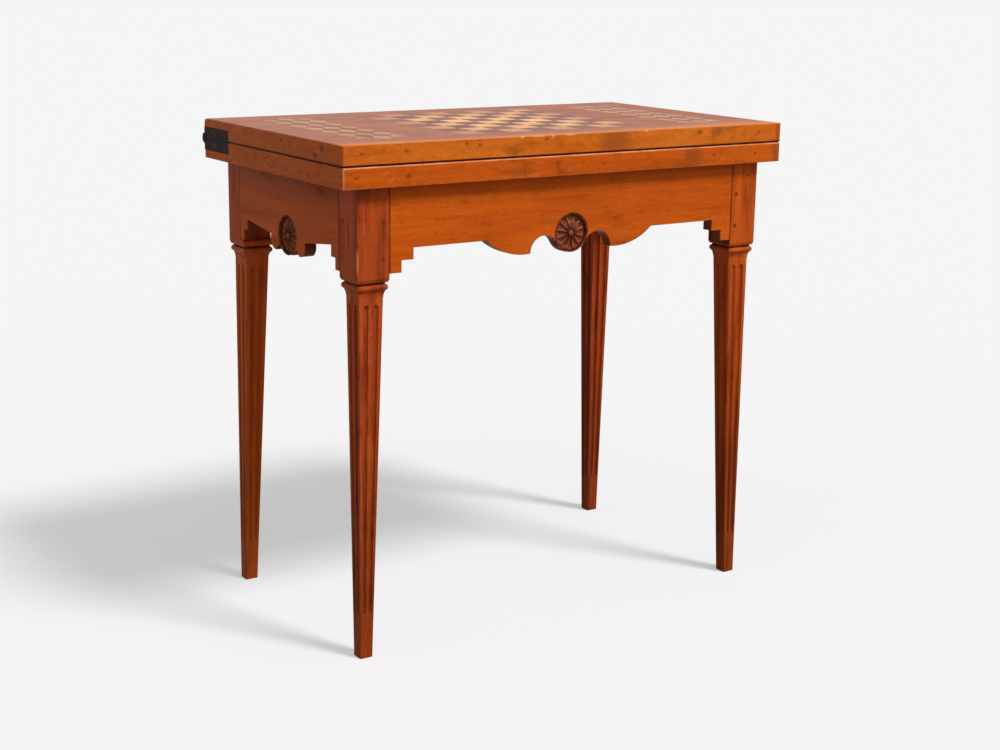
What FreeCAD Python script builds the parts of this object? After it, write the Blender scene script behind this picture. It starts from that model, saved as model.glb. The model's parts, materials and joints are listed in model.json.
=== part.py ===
import FreeCAD, Part
import math
import os
import re

import Sketcher

# Fold-over games table: a fixed lower leaf on a stepped and scalloped frame, an upper leaf with an
# inlaid chessboard that folds back on iron end hinges, and a rear left leg that swings out on a
# wooden knuckle joint to carry it. Millimetres, +Z up, the front along -Y, the floor at Z = 0.

os.makedirs("parts", exist_ok=True)
doc = FreeCAD.newDocument("chess_table")

SIZES = {
    # leaves
    "table_height": 760,
    "leaf_length": 797,
    "leaf_depth": 453,
    "leaf_thickness": 30.5,
    "leaf_gap": 0.4,
    "leaf_round": 1.6,
    "rear_round": 8,
    "end_overhang": 30.5,
    "front_overhang": 17,
    "back_overhang": 17,
    # inlay of the upper leaf
    "veneer": 1.2,
    "glue_gap": 0.1,
    "square_size": 41.4,
    "lozenge_width": 29,
    "lozenge_length": 50,
    "band_x": 294,
    # corner posts and legs
    "post_size": 52.5,
    "post_height": 135.6,
    "post_chamfer": 2,
    "post_chamfer_rise": 5,
    "neck_inset": 5,
    "neck_height": 2.5,
    "collar_inset": 4.5,
    "collar_height": 9.5,
    "collar_radius": 5.5,
    "cove_height": 10,
    "shaft_top": 39,
    "shaft_foot": 20.5,
    "foot_inset": 5,
    "flute_top_margin": 14,
    "flute_foot_z": 70,
    "flute_top_radius": 4.6,
    "flute_foot_radius": 2.7,
    "flute_top_pitch": 16,
    "flute_foot_pitch": 9.6,
    "flute_lift": 0.8,
    # aprons
    "apron_thickness": 20,
    "apron_height": 124.1,
    "lower_step": 17.5,
    "upper_step": 17,
    "front_step": 19.6,
    "front_arch_u": 49,
    "front_arch_rise": 9,
    "front_lobe_u": 153,
    "front_lobe_drop": 0,
    "front_lobe_radius": 102,
    "side_step": 12.5,
    "side_arch_u": 28,
    "side_arch_rise": 2.2,
    "side_lobe_u": 54,
    "side_lobe_drop": 10,
    "side_lobe_radius": 16,
    # carved rosettes
    "front_rosette_rise": 35,
    "side_rosette_rise": 28.2,
    "rosette_radius": 30,
    "rosette_gap": 0.4,
    "recess_depth": 7,
    "rosette_plate": 2.5,
    "petal_rise": 4,
    "petal_root_rise": 1.4,
    "petal_root": 8.5,
    "petal_notch": 2.2,
    "boss_radius": 6.5,
    "boss_shoulder": 4.6,
    "boss_shoulder_rise": 3.2,
    "boss_rise": 4.4,
    # tenons and pegs
    "tenon_length": 26,
    "tenon_thickness": 8,
    "tenon_setback": 6,
    "tenon_shoulder": 8,
    "tenon_haunch": 14,
    "mortise_gap": 0.15,
    "stub_length": 8,
    "peg_radius": 3.5,
    "peg_length": 26,
    "peg_proud": 0.4,
    "peg_gap": 0.05,
    "peg_offset": 10,
    "peg_rise": 22.5,
    "peg_pitch": 51,
    "rail_peg_length": 38,
    "rail_peg_margin": 28,
    # back rails and the wooden knuckle
    "rear_post_depth": 41,
    "swing_gap": 0.5,
    "inner_rail_thickness": 20,
    "rail_thickness": 22,
    "rail_height": 98.6,
    "knuckle_x": 0,
    "knuckle_gap": 0.4,
    "finger_gap": 0.3,
    "knuckle_pin_radius": 4,
    "knuckle_pin_margin": 1,
    "running_gap": 0.05,
    # glue blocks
    "block_size": 18,
    "block_length": 60,
    "block_u": 170,
    # end hinges
    "plate_thickness": 3,
    "plate_height": 18,
    "plate_length": 88,
    "eye_radius": 8.5,
    "eye_gap": 0.5,
    "layer_gap": 0.3,
    "strap_length": 30,
    "fit_gap": 0.1,
    "pin_radius": 3,
    "pin_head_radius": 5,
    "pin_head": 1.2,
    "screw_head_radius": 4,
    "screw_head": 1.6,
    "screw_radius": 2.2,
    "screw_length": 20,
    "screw_near": 36,
    "screw_far": 72,
}

SQUARES = 8
LOZENGE_COLUMNS = 3
LOZENGE_ROWS = 7
PETALS = 12
FINGERS = 5
FLUTE_SIDES = 10
PEG_SIDES = 8
SCREW_SIDES = 8
PIN_HEAD_SIDES = 16

PLACES = {
    # heights
    "frame_top": "table_height - 2 * leaf_thickness - leaf_gap",
    "lower_top": "frame_top + leaf_thickness",
    "upper_low": "lower_top + leaf_gap",
    "inlay_low": "table_height - veneer",
    # plan, with the hinge eyes counted in the depth
    "half_leaf": "leaf_length / 2",
    "leaf_front": "-(leaf_depth + leaf_gap / 2 + eye_radius) / 2",
    "leaf_back": "leaf_front + leaf_depth",
    "leaf_middle": "leaf_front + leaf_depth / 2",
    "frame_half": "half_leaf - end_overhang",
    "frame_front": "leaf_front + front_overhang",
    "frame_back": "leaf_back - back_overhang",
    "post_in": "frame_half - post_size",
    "hinge_y": "leaf_back + leaf_gap / 2",
    "hinge_z": "lower_top + leaf_gap / 2",
    "eye_depth": "2 * plate_thickness + layer_gap",
    "notch_radius": "eye_radius + eye_gap",
    "plate_mid_low": "lower_top - plate_height / 2",
    "plate_mid_high": "upper_low + plate_height / 2",
    "board_half": "4 * square_size",
    "post_foot_z": "frame_top - post_height",
    "step_low_z": "frame_top - apron_height",
    "step_high_z": "step_low_z + lower_step",
    "edge_z": "step_high_z + upper_step",
    "peg_low_z": "step_low_z + peg_rise",
    "peg_high_z": "peg_low_z + peg_pitch",
    "rail_foot_z": "frame_top - rail_height",
    # leg outline, from the outer face inwards
    "collar_top": "post_foot_z - neck_height",
    "collar_low": "collar_top - collar_height",
    "shaft_top_z": "collar_low - cove_height",
    "flute_top_z": "shaft_top_z - flute_top_margin",
    "chamfer_top": "post_foot_z + post_chamfer_rise",
    "shaft_out": "(post_size - shaft_top) / 2",
    "shaft_in": "shaft_out + shaft_top",
    "foot_in": "foot_inset + shaft_foot",
    "collar_in": "post_size - collar_inset",
    "neck_in": "post_size - neck_inset",
    "chamfer_in": "post_size - post_chamfer",
    "cove_run": "shaft_out - collar_inset",
    "cove_radius": "(cove_run ^ 2 + cove_height ^ 2) / (2 * cove_run)",
    # back of the frame
    "lap_y": "frame_back - rear_post_depth - swing_gap",
    "rear_lap": "rear_post_depth + swing_gap",
    "inner_rail_front": "lap_y - inner_rail_thickness",
    "rail_back": "lap_y + rail_thickness",
    "knuckle_y": "lap_y + rail_thickness / 2",
    "knuckle_half": "rail_thickness / 2",
    "knuckle_cut": "rail_thickness / 2 + knuckle_gap",
    "knuckle_reach": "knuckle_x + knuckle_cut",
    "swing_top": "frame_top - swing_gap",
    "finger_height": "(frame_top - rail_foot_z) / 5",
    "rail_tenon_near": "rear_lap - (rail_thickness + tenon_thickness) / 2",
    "rail_tenon_far": "rail_tenon_near + tenon_thickness",
    "rail_tenon_low": "rail_foot_z + tenon_shoulder",
    "tenon_low": "step_low_z + tenon_shoulder",
    "tenon_top": "frame_top - tenon_haunch",
    "rail_peg_low": "rail_foot_z + rail_peg_margin",
    "rail_peg_high": "frame_top - rail_peg_margin",
    "peg_in": "post_size - peg_offset",
    "lap_floor": "step_low_z - 3 * swing_gap",
    # apron outlines, from the middle of the apron outwards
    "recess_radius": "rosette_radius + rosette_gap",
    "front_half": "post_in",
    "side_front": "frame_front + post_size",
    "side_half": "(lap_y - side_front) / 2",
    "side_middle": "(lap_y + side_front) / 2",
    "front_step_far": "front_half - front_step",
    "front_step_near": "front_half - 2 * front_step",
    "side_step_far": "side_half - side_step",
    "side_step_near": "side_half - 2 * side_step",
}
for side in ("front", "side"):
    PLACES[f"{side}_rosette_z"] = f"step_low_z + {side}_rosette_rise"
    PLACES[f"{side}_arch_z"] = f"step_low_z + {side}_arch_rise"
    PLACES[f"{side}_lobe_z"] = f"edge_z - {side}_lobe_drop"
    PLACES[f"{side}_arch_span"] = f"sqrt({side}_arch_u ^ 2 + ({side}_rosette_z - {side}_arch_z) ^ 2)"
    PLACES[f"{side}_arch_radius"] = f"{side}_arch_span - rosette_radius"
    PLACES[f"{side}_meet_u"] = f"rosette_radius * {side}_arch_u / {side}_arch_span"
    PLACES[f"{side}_meet_z"] = (f"{side}_rosette_z - rosette_radius * ({side}_rosette_z - {side}_arch_z)"
                                f" / {side}_arch_span")
    PLACES[f"{side}_cusp_u"] = f"{side}_arch_u + {side}_arch_radius"


def named(text):
    """Expression text with the sheet's name put before each size and place."""
    def with_sheet(word):
        name = word.group()
        if name in SIZES:
            return f"Sizes.{name}"
        return f"Places.{name}" if name in PLACES else name
    return re.sub(r"[a-z]\w*", with_sheet, text)


def fill(sheet, cells):
    for row, (alias, text) in enumerate(cells.items(), start=1):
        sheet.set(f"A{row}", alias)
        sheet.set(f"B{row}", text)
        sheet.setAlias(f"B{row}", alias)


sizes = doc.addObject("Spreadsheet::Sheet", "Sizes")
fill(sizes, {alias: str(number) for alias, number in SIZES.items()})
places = doc.addObject("Spreadsheet::Sheet", "Places")
fill(places, {alias: "=" + named(text) for alias, text in PLACES.items()})
doc.recompute()


def measure(name):
    """Number in a named cell; a leading minus mirrors it."""
    if name == "0":
        return 0.0
    if name.startswith("-"):
        return -measure(name[1:])
    return float(getattr(sizes if name in SIZES else places, name))


def bind(feature, bindings):
    for path, text in bindings.items():
        feature.setExpression(path, named(text))
    return feature


def box(name, x, y, z):
    """Box between pairs of expressions."""
    feature = doc.addObject("Part::Box", name)
    spans = {"Length": x, "Width": y, "Height": z}
    for (size, (low, high)), axis in zip(spans.items(), "xyz"):
        bind(feature, {size: f"({high}) - ({low})", f"Placement.Base.{axis}": low})
    return feature


AXES = {
    "x": FreeCAD.Rotation(FreeCAD.Vector(0, 1, 0), 90),
    "y": FreeCAD.Rotation(FreeCAD.Vector(1, 0, 0), -90),
    "z": FreeCAD.Rotation(),
}


def cylinder(name, axis, radius, span, across):
    """Cylinder along an axis between two expressions; across gives its other two coordinates."""
    feature = doc.addObject("Part::Cylinder", name)
    feature.Placement = FreeCAD.Placement(FreeCAD.Vector(), AXES[axis])
    low, high = span
    first, second = [letter for letter in "xyz" if letter != axis]
    return bind(feature, {
        "Radius": radius,
        "Height": f"({high}) - ({low})",
        f"Placement.Base.{axis}": low,
        f"Placement.Base.{first}": across[0],
        f"Placement.Base.{second}": across[1],
    })


def prism(name, axis, sides, radius, span, across):
    """Many-sided prism along an axis, placed as a cylinder is."""
    feature = doc.addObject("Part::Prism", name)
    feature.Polygon = sides
    feature.Placement = FreeCAD.Placement(FreeCAD.Vector(), AXES[axis])
    low, high = span
    first, second = [letter for letter in "xyz" if letter != axis]
    return bind(feature, {
        "Circumradius": radius,
        "Height": f"({high}) - ({low})",
        f"Placement.Base.{axis}": low,
        f"Placement.Base.{first}": across[0],
        f"Placement.Base.{second}": across[1],
    })


def faceted(rings):
    """Closed solid through rings of as many points each; a ring of one point is a tip."""
    faces = []
    for ring, after in zip(rings, rings[1:]):
        for step in range(max(len(ring), len(after))):
            corners = [ring[step % len(ring)], ring[(step + 1) % len(ring)],
                       after[(step + 1) % len(after)], after[step % len(after)]]
            corners = [corner for number, corner in enumerate(corners) if corner != corners[number - 1]]
            faces.append(Part.Face(Part.makePolygon(corners + corners[:1])))
    for ring in (rings[0], rings[-1]):
        if len(ring) > 1:
            faces.append(Part.Face(Part.makePolygon(ring + ring[:1])))
    solid = Part.makeSolid(Part.makeShell(faces))
    if solid.Volume < 0:
        solid.reverse()
    return solid


def join(name, pieces):
    feature = doc.addObject("Part::MultiFuse", name)
    feature.Shapes = pieces
    return feature


def cut(name, base, tools):
    feature = doc.addObject("Part::Cut", name)
    feature.Base = base
    feature.Tool = tools[0] if len(tools) == 1 else join(f"{name}_tools", tools)
    return feature


def common(name, first, second):
    feature = doc.addObject("Part::Common", name)
    feature.Base = first
    feature.Tool = second
    return feature


def group(name, pieces):
    feature = doc.addObject("Part::Compound", name)
    feature.Links = pieces
    return feature


def stand(feature, angle, x, y):
    """Turn a finished feature about the vertical and bind its place in plan."""
    turn = FreeCAD.Rotation(FreeCAD.Vector(0, 0, 1), angle)
    feature.Placement = FreeCAD.Placement(FreeCAD.Vector(), turn)
    return bind(feature, {"Placement.Base.x": x, "Placement.Base.y": y})


def origin_plane(body, role):
    return next(plane for plane in body.Origin.OriginFeatures if plane.Role == role)


def new_sketch(body, role, name):
    sketch = body.newObject("Sketcher::SketchObject", f"{body.Name}_{name}")
    sketch.AttachmentSupport = [(origin_plane(body, role), "")]
    sketch.MapMode = "FlatFace"
    return sketch


def arc_between(start, end, radius, turn):
    """Arc of less than a half circle; turn is +1 for anticlockwise and -1 for clockwise."""
    chord = end - start
    rise = math.sqrt(radius ** 2 - chord.Length ** 2 / 4) * turn
    centre = (start + end) / 2 + FreeCAD.Vector(-chord.y, chord.x, 0) / chord.Length * rise
    angles = [math.atan2(p.y - centre.y, p.x - centre.x) for p in (start, end)]
    circle = Part.Circle(centre, FreeCAD.Vector(0, 0, 1), radius)
    return Part.ArcOfCircle(circle, *(angles if turn > 0 else angles[::-1]))


def hold(sketch, kind, edge, end, name, zero_axis):
    """Bind one coordinate of a sketch point to a named cell."""
    if name == "0":
        sketch.addConstraint(Sketcher.Constraint("PointOnObject", edge, end, zero_axis))
        return
    index = sketch.addConstraint(Sketcher.Constraint(kind, edge, end, measure(name)))
    sketch.setExpression(f"Constraints[{index}]", named(name))


def draw(body, role, corners):
    """Closed outline through named corners (x, y, bend); bend is None or (radius, turn) of an arc."""
    sketch = new_sketch(body, role, "outline")
    spots = [FreeCAD.Vector(measure(x), measure(y), 0) for x, y, bend in corners]
    ends = []
    for spot, after, (x, y, bend) in zip(spots, spots[1:] + spots[:1], corners):
        if bend is None:
            sketch.addGeometry(Part.LineSegment(spot, after))
        else:
            sketch.addGeometry(arc_between(spot, after, measure(bend[0]), bend[1]))
        ends.append((2, 1) if bend and bend[1] < 0 else (1, 2))
    for edge, (x, y, bend) in enumerate(corners):
        after = (edge + 1) % len(corners)
        sketch.addConstraint(Sketcher.Constraint("Coincident", edge, ends[edge][1], after, ends[after][0]))
        hold(sketch, "DistanceX", edge, ends[edge][0], x, -2)
        hold(sketch, "DistanceY", edge, ends[edge][0], y, -1)
        if bend:
            index = sketch.addConstraint(Sketcher.Constraint("Radius", edge, measure(bend[0])))
            sketch.setExpression(f"Constraints[{index}]", named(bend[0]))
    return sketch


def padded(name, role, corners, length, reverse):
    body = doc.addObject("PartDesign::Body", name)
    pad = body.newObject("PartDesign::Pad", f"{name}_pad")
    pad.Profile = draw(body, role, corners)
    pad.Reversed = reverse
    bind(pad, {"Length": length})
    body.Tip = pad
    return body


def edges_where(shape, test):
    """Names of the straight edges whose middle passes the test."""
    middles = [edge.BoundBox.Center for edge in shape.Edges]
    return [f"Edge{number}" for number, middle in enumerate(middles, start=1) if test(middle)]


def round_edges(body, radius, test):
    doc.recompute()
    base = body.Tip
    fillet = body.newObject("PartDesign::Fillet", f"{body.Name}_{radius}")
    fillet.Base = (base, edges_where(base.Shape, test))
    bind(fillet, {"Radius": radius})
    body.Tip = fillet


# Leaves
def leaf_board(name, low):
    """Rectangular board with its lower face at the named height."""
    corners = [("-half_leaf", "leaf_front", None), ("half_leaf", "leaf_front", None),
               ("half_leaf", "leaf_back", None), ("-half_leaf", "leaf_back", None)]
    body = padded(name, "XY_Plane", corners, "leaf_thickness", False)
    return bind(body, {"Placement.Base.z": low})


def inward(side, near, far):
    """Span measured inwards from the left or right end of the leaves."""
    if side == "left":
        return f"-half_leaf + {near}", f"-half_leaf + {far}"
    return f"half_leaf - ({far})", f"half_leaf - ({near})"


def end_screws(name, side, z, oversize=""):
    """Two screws of a hinge plate, or the room for them."""
    pieces = []
    for place in ("screw_near", "screw_far"):
        spot = (f"hinge_y - {place}", z)
        head = prism(f"{name}_{place}_head", "x", SCREW_SIDES, f"screw_head_radius{oversize}",
                     inward(side, "0", "screw_head"), spot)
        shank = prism(f"{name}_{place}_shank", "x", SCREW_SIDES, f"screw_radius{oversize}",
                      inward(side, "0", f"screw_length{oversize}"), spot)
        pieces.append(join(f"{name}_{place}", [head, shank]))
    return pieces


def hinge_room(name, side, z, plate_mid, strap):
    """Housings that an end hinge needs in one leaf."""
    plate = box(f"{name}_plate_room", inward(side, "-fit_gap", "plate_thickness"),
                ("hinge_y - plate_length - fit_gap", "hinge_y + fit_gap"), z)
    notch = cylinder(f"{name}_eye_room", "x", "notch_radius",
                     inward(side, "-fit_gap", "eye_depth + eye_gap"), ("hinge_y", "hinge_z"))
    rooms = [plate, notch] + end_screws(f"{name}_screw_room", side, plate_mid, " + fit_gap")
    if strap:
        rooms.append(box(f"{name}_strap_room", inward(side, "-fit_gap", "eye_depth + fit_gap"),
                         ("hinge_y - strap_length - fit_gap", "hinge_y + fit_gap"),
                         ("upper_low - fit_gap", "upper_low + eye_radius + fit_gap")))
    return rooms


def lower_leaf():
    board = leaf_board("lower_board", "frame_top")
    height = measure("leaf_thickness")
    round_edges(board, "leaf_round", lambda middle: middle.z > height * 0.9 or middle.z < height * 0.1)
    room = ("lower_top - plate_height - fit_gap", "lower_top + fit_gap")
    tools = []
    for side in ("left", "right"):
        tools += hinge_room(f"lower_{side}", side, room, "plate_mid_low", False)
    return cut("lower_leaf", board, tools)


def upper_leaf():
    board = leaf_board("upper_board", "upper_low")
    top = measure("leaf_thickness") * 0.9
    back = measure("leaf_back") - measure("leaf_round")
    round_edges(board, "rear_round", lambda middle: middle.z > top and middle.y > back)
    round_edges(board, "leaf_round", lambda middle: middle.z > top and middle.y < back - measure("rear_round"))
    room = ("upper_low - fit_gap", "upper_low + plate_height + fit_gap")
    tools = []
    for side in ("left", "right"):
        tools += hinge_room(f"upper_{side}", side, room, "plate_mid_high", True)
    depth = ("inlay_low", "table_height + fit_gap")
    tools.append(box("board_room", ("-board_half - glue_gap", "board_half + glue_gap"),
                     ("leaf_middle - board_half - glue_gap", "leaf_middle + board_half + glue_gap"), depth))
    half_width = f"lozenge_width * {LOZENGE_COLUMNS} / 2 + glue_gap"
    half_length = f"lozenge_length * {LOZENGE_ROWS} / 2 + glue_gap"
    for label, centre in (("left", "-band_x"), ("right", "band_x")):
        tools.append(box(f"band_room_{label}", (f"{centre} - ({half_width})", f"{centre} + {half_width}"),
                         (f"leaf_middle - ({half_length})", f"leaf_middle + {half_length}"), depth))
    return cut("upper_leaf", board, tools)


def squares(name, parity):
    """Every second square of the board, with a glue line round each."""
    pieces = []
    for column in range(SQUARES):
        for row in range(SQUARES):
            if (column + row) % 2 == parity:
                x = f"square_size * {column} - board_half + glue_gap / 2"
                y = f"leaf_middle + square_size * {row} - board_half + glue_gap / 2"
                pieces.append(box(f"{name}_{column}_{row}", (x, f"{x} + square_size - glue_gap"),
                                  (y, f"{y} + square_size - glue_gap"), ("inlay_low", "table_height")))
    return group(name, pieces)


def lozenges(name, kind):
    """Lozenges of both bands: light ones on the grid, dark ones between, halves along the edges."""
    half_x = measure("lozenge_width") / 2
    half_y = measure("lozenge_length") / 2
    line = measure("glue_gap") / 2
    low = measure("inlay_low")
    solids = []
    for side in (-1, 1):
        centre_x = side * measure("band_x")
        left = centre_x - half_x * LOZENGE_COLUMNS
        front = measure("leaf_middle") - half_y * LOZENGE_ROWS
        field = Part.makeBox(2 * half_x * LOZENGE_COLUMNS, 2 * half_y * LOZENGE_ROWS, measure("veneer"),
                             FreeCAD.Vector(left, front, low))
        for column in range(2 * LOZENGE_COLUMNS + 1):
            for row in range(2 * LOZENGE_ROWS + 1):
                on_grid = column % 2 == 1 and row % 2 == 1
                between = column % 2 == 0 and row % 2 == 0
                on_edge = column in (0, 2 * LOZENGE_COLUMNS) or row in (0, 2 * LOZENGE_ROWS)
                found = "light" if on_grid else "edge" if between and on_edge else "dark" if between else None
                if found != kind:
                    continue
                x, y = left + column * half_x, front + row * half_y
                shrink = line * math.hypot(1 / half_x, 1 / half_y)
                reach_x, reach_y = half_x * (1 - shrink), half_y * (1 - shrink)
                points = [(x - reach_x, y), (x, y - reach_y), (x + reach_x, y), (x, y + reach_y)]
                points = [FreeCAD.Vector(px, py, low) for px, py in points]
                face = Part.Face(Part.makePolygon(points + points[:1]))
                prism = face.extrude(FreeCAD.Vector(0, 0, measure("veneer")))
                solids += (prism.common(field) if kind == "edge" else prism).Solids
    feature = doc.addObject("Part::Feature", name)
    feature.Shape = Part.makeCompound(solids)
    return feature


# End hinges
def lower_plate(side):
    name = f"lower_hinge_plate_{side}"
    plate = box(f"{name}_strip", inward(side, "0", "plate_thickness"),
                ("hinge_y - plate_length", "hinge_y"), ("lower_top - plate_height", "lower_top"))
    eye = cylinder(f"{name}_eye", "x", "eye_radius", inward(side, "0", "plate_thickness"), ("hinge_y", "hinge_z"))
    hole = cylinder(f"{name}_hole", "x", "pin_radius + running_gap",
                    inward(side, "-fit_gap", "eye_depth"), ("hinge_y", "hinge_z"))
    rooms = end_screws(f"{name}_room", side, "plate_mid_low", " + fit_gap / 2")
    return cut(name, join(f"{name}_blank", [plate, eye]), [hole] + rooms)


def upper_plate(side):
    """Plate whose strap carries the inner eye, behind the eye of the lower plate."""
    name = f"upper_hinge_plate_{side}"
    plate = box(f"{name}_strip", inward(side, "0", "plate_thickness"),
                ("hinge_y - plate_length", "hinge_y"), ("upper_low", "upper_low + plate_height"))
    strap = box(f"{name}_strap", inward(side, "0", "eye_depth"),
                ("hinge_y - strap_length", "hinge_y"), ("upper_low", "upper_low + eye_radius"))
    clear = cylinder(f"{name}_clear", "x", "eye_radius + layer_gap",
                     inward(side, "-fit_gap", "plate_thickness + layer_gap"), ("hinge_y", "hinge_z"))
    eye = cylinder(f"{name}_eye", "x", "eye_radius",
                   inward(side, "plate_thickness + layer_gap", "eye_depth"), ("hinge_y", "hinge_z"))
    hole = cylinder(f"{name}_hole", "x", "pin_radius + running_gap",
                    inward(side, "-fit_gap", "eye_depth + fit_gap"), ("hinge_y", "hinge_z"))
    rooms = end_screws(f"{name}_room", side, "plate_mid_high", " + fit_gap / 2")
    trimmed = cut(f"{name}_trimmed", join(f"{name}_blank", [plate, strap]), [clear])
    return cut(name, join(f"{name}_whole", [trimmed, eye]), [hole] + rooms)


def hinge_pin(side):
    name = f"hinge_pin_{side}"
    shank = cylinder(f"{name}_shank", "x", "pin_radius", inward(side, "0", "eye_depth"), ("hinge_y", "hinge_z"))
    head = prism(f"{name}_head", "x", PIN_HEAD_SIDES, "pin_head_radius", inward(side, "-pin_head", "0"),
                 ("hinge_y", "hinge_z"))
    return join(name, [shank, head])


def hinge_screws(name, z):
    return group(name, end_screws(f"{name}_left", "left", z) + end_screws(f"{name}_right", "right", z))


# Aprons and rosettes
def apron_blank(name, side):
    """Board with the outer face at y = 0, drawn from its middle outwards and mirrored."""
    half = [
        (f"{side}_meet_u", f"{side}_meet_z", (f"{side}_arch_radius", -1)),
        (f"{side}_cusp_u", f"{side}_arch_z", (f"{side}_lobe_radius", 1)),
        (f"{side}_lobe_u", f"{side}_lobe_z", None),
        (f"{side}_step_near", "edge_z", None),
        (f"{side}_step_near", "step_high_z", None),
        (f"{side}_step_far", "step_high_z", None),
        (f"{side}_step_far", "step_low_z", None),
        (f"{side}_half", "step_low_z", None),
        (f"{side}_half", "frame_top", None),
    ]
    corners = list(half)
    for index in range(len(half) - 1, -1, -1):
        x, z, bend = half[index]
        bend_back = half[index - 1][2] if index else ("rosette_radius", 1)
        corners.append((f"-{x}", z, bend_back))
    body = padded(name, "XZ_Plane", corners, "apron_thickness", True)
    sketch = new_sketch(body, "XZ_Plane", "recess")
    centre = FreeCAD.Vector(0, measure(f"{side}_rosette_z"), 0)
    sketch.addGeometry(Part.Circle(centre, FreeCAD.Vector(0, 0, 1), measure("recess_radius")))
    hold(sketch, "DistanceX", 0, 3, "0", -2)
    hold(sketch, "DistanceY", 0, 3, f"{side}_rosette_z", -1)
    index = sketch.addConstraint(Sketcher.Constraint("Radius", 0, measure("recess_radius")))
    sketch.setExpression(f"Constraints[{index}]", named("recess_radius"))
    pocket = body.newObject("PartDesign::Pocket", f"{name}_recess")
    pocket.Profile = sketch
    bind(pocket, {"Length": "recess_depth"})
    body.Tip = pocket
    return body


def tenon(name, u, low):
    """Tenon on the end of an apron, in the apron's own frame."""
    depth = ("tenon_setback", "tenon_setback + tenon_thickness")
    return box(name, u, depth, (low, "tenon_top"))


def peg_holes(name, u, length):
    return [prism(f"{name}_{z}", "y", PEG_SIDES, "peg_radius + peg_gap", ("-peg_proud", length), (u, z))
            for z in ("peg_low_z", "peg_high_z")]


def front_apron():
    right = tenon("front_tenon_right", ("front_half", "front_half + tenon_length"), "tenon_low")
    left = tenon("front_tenon_left", ("-front_half - tenon_length", "-front_half"), "tenon_low")
    whole = join("front_apron_whole", [apron_blank("front_apron_board", "front"), right, left])
    holes = peg_holes("front_hole_right", "front_half + peg_offset", "apron_thickness")
    holes += peg_holes("front_hole_left", "-front_half - peg_offset", "apron_thickness")
    return stand(cut("front_apron", whole, holes), 0, "0", "frame_front")


def side_apron(label, angle, front_sign, x):
    """Side apron; front_sign says which end of its own frame is the front end."""
    name = f"{label}_apron"
    ends = {1: ("side_half", "side_half + tenon_length"), -1: ("-side_half - tenon_length", "-side_half")}
    spots = {1: "side_half + peg_offset", -1: "-side_half - peg_offset"}
    pieces = [apron_blank(f"{name}_board", "side"), tenon(f"{name}_front_tenon", ends[front_sign], "tenon_low")]
    holes = peg_holes(f"{name}_front_hole", spots[front_sign], "apron_thickness")
    if label == "right":
        pieces.append(tenon(f"{name}_rear_tenon", ends[-front_sign], "tenon_low"))
        holes += peg_holes(f"{name}_rear_hole", spots[-front_sign], "apron_thickness")
    stub = {1: ("side_half - inner_rail_thickness + tenon_setback - mortise_gap",
                "side_half - inner_rail_thickness + tenon_setback + tenon_thickness + mortise_gap"),
            -1: ("-side_half + inner_rail_thickness - tenon_setback - tenon_thickness - mortise_gap",
                 "-side_half + inner_rail_thickness - tenon_setback + mortise_gap")}
    holes.append(box(f"{name}_stub_room", stub[-front_sign],
                     ("apron_thickness - stub_length - mortise_gap", "apron_thickness + mortise_gap"),
                     ("rail_tenon_low - mortise_gap", "tenon_top + mortise_gap")))
    return stand(cut(name, join(f"{name}_whole", pieces), holes), angle, x, "side_middle")


def rosette(label, angle, x, y):
    """Carved flower: ridged petals with notches between them, round a domed boss."""
    middle_z = measure("front_rosette_z" if label == "front" else "side_rosette_z")
    rim = measure("rosette_radius") - measure("rosette_gap")
    notch = rim - measure("petal_notch")
    plate = measure("rosette_plate")
    root, boss, shoulder = measure("petal_root"), measure("boss_radius"), measure("boss_shoulder")
    shoulder_height = plate + measure("boss_shoulder_rise")
    # radius and height of each ring, on the ridge of a petal and in the notch beside it
    levels = [
        ((rim, 0), (notch, 0)),
        ((rim, plate + measure("petal_rise")), (notch, plate)),
        ((root, plate + measure("petal_root_rise")), (root, plate)),
        ((boss, plate), (boss, plate)),
        ((shoulder, shoulder_height), (shoulder, shoulder_height)),
    ]

    def spot(radius, height, turn):
        return FreeCAD.Vector(radius * math.sin(turn), measure("recess_depth") - height,
                              middle_z + radius * math.cos(turn))

    turns = [math.pi / PETALS * number for number in range(2 * PETALS)]
    rings = [[spot(*level[number % 2], turn) for number, turn in enumerate(turns)] for level in levels]
    rings.append([spot(0, plate + measure("boss_rise"), 0)])
    split = []
    for ring, after in zip(rings, rings[1:]):
        for number in range(2 * PETALS):
            here, beside = ring[number], ring[(number + 1) % len(ring)]
            ahead, past = after[number % len(after)], after[(number + 1) % len(after)]
            split.append((here, beside, ahead))
            if len(after) > 1:
                split.append((beside, past, ahead))
    faces = [Part.Face(Part.makePolygon(list(corners) + [corners[0]])) for corners in split]
    faces.append(Part.Face(Part.makePolygon(rings[0] + rings[0][:1])))
    feature = doc.addObject("Part::Feature", f"rosette_{label}")
    solid = Part.makeSolid(Part.makeShell(faces))
    if solid.Volume < 0:
        solid.reverse()
    feature.Shape = solid
    return stand(feature, angle, x, y)


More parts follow.
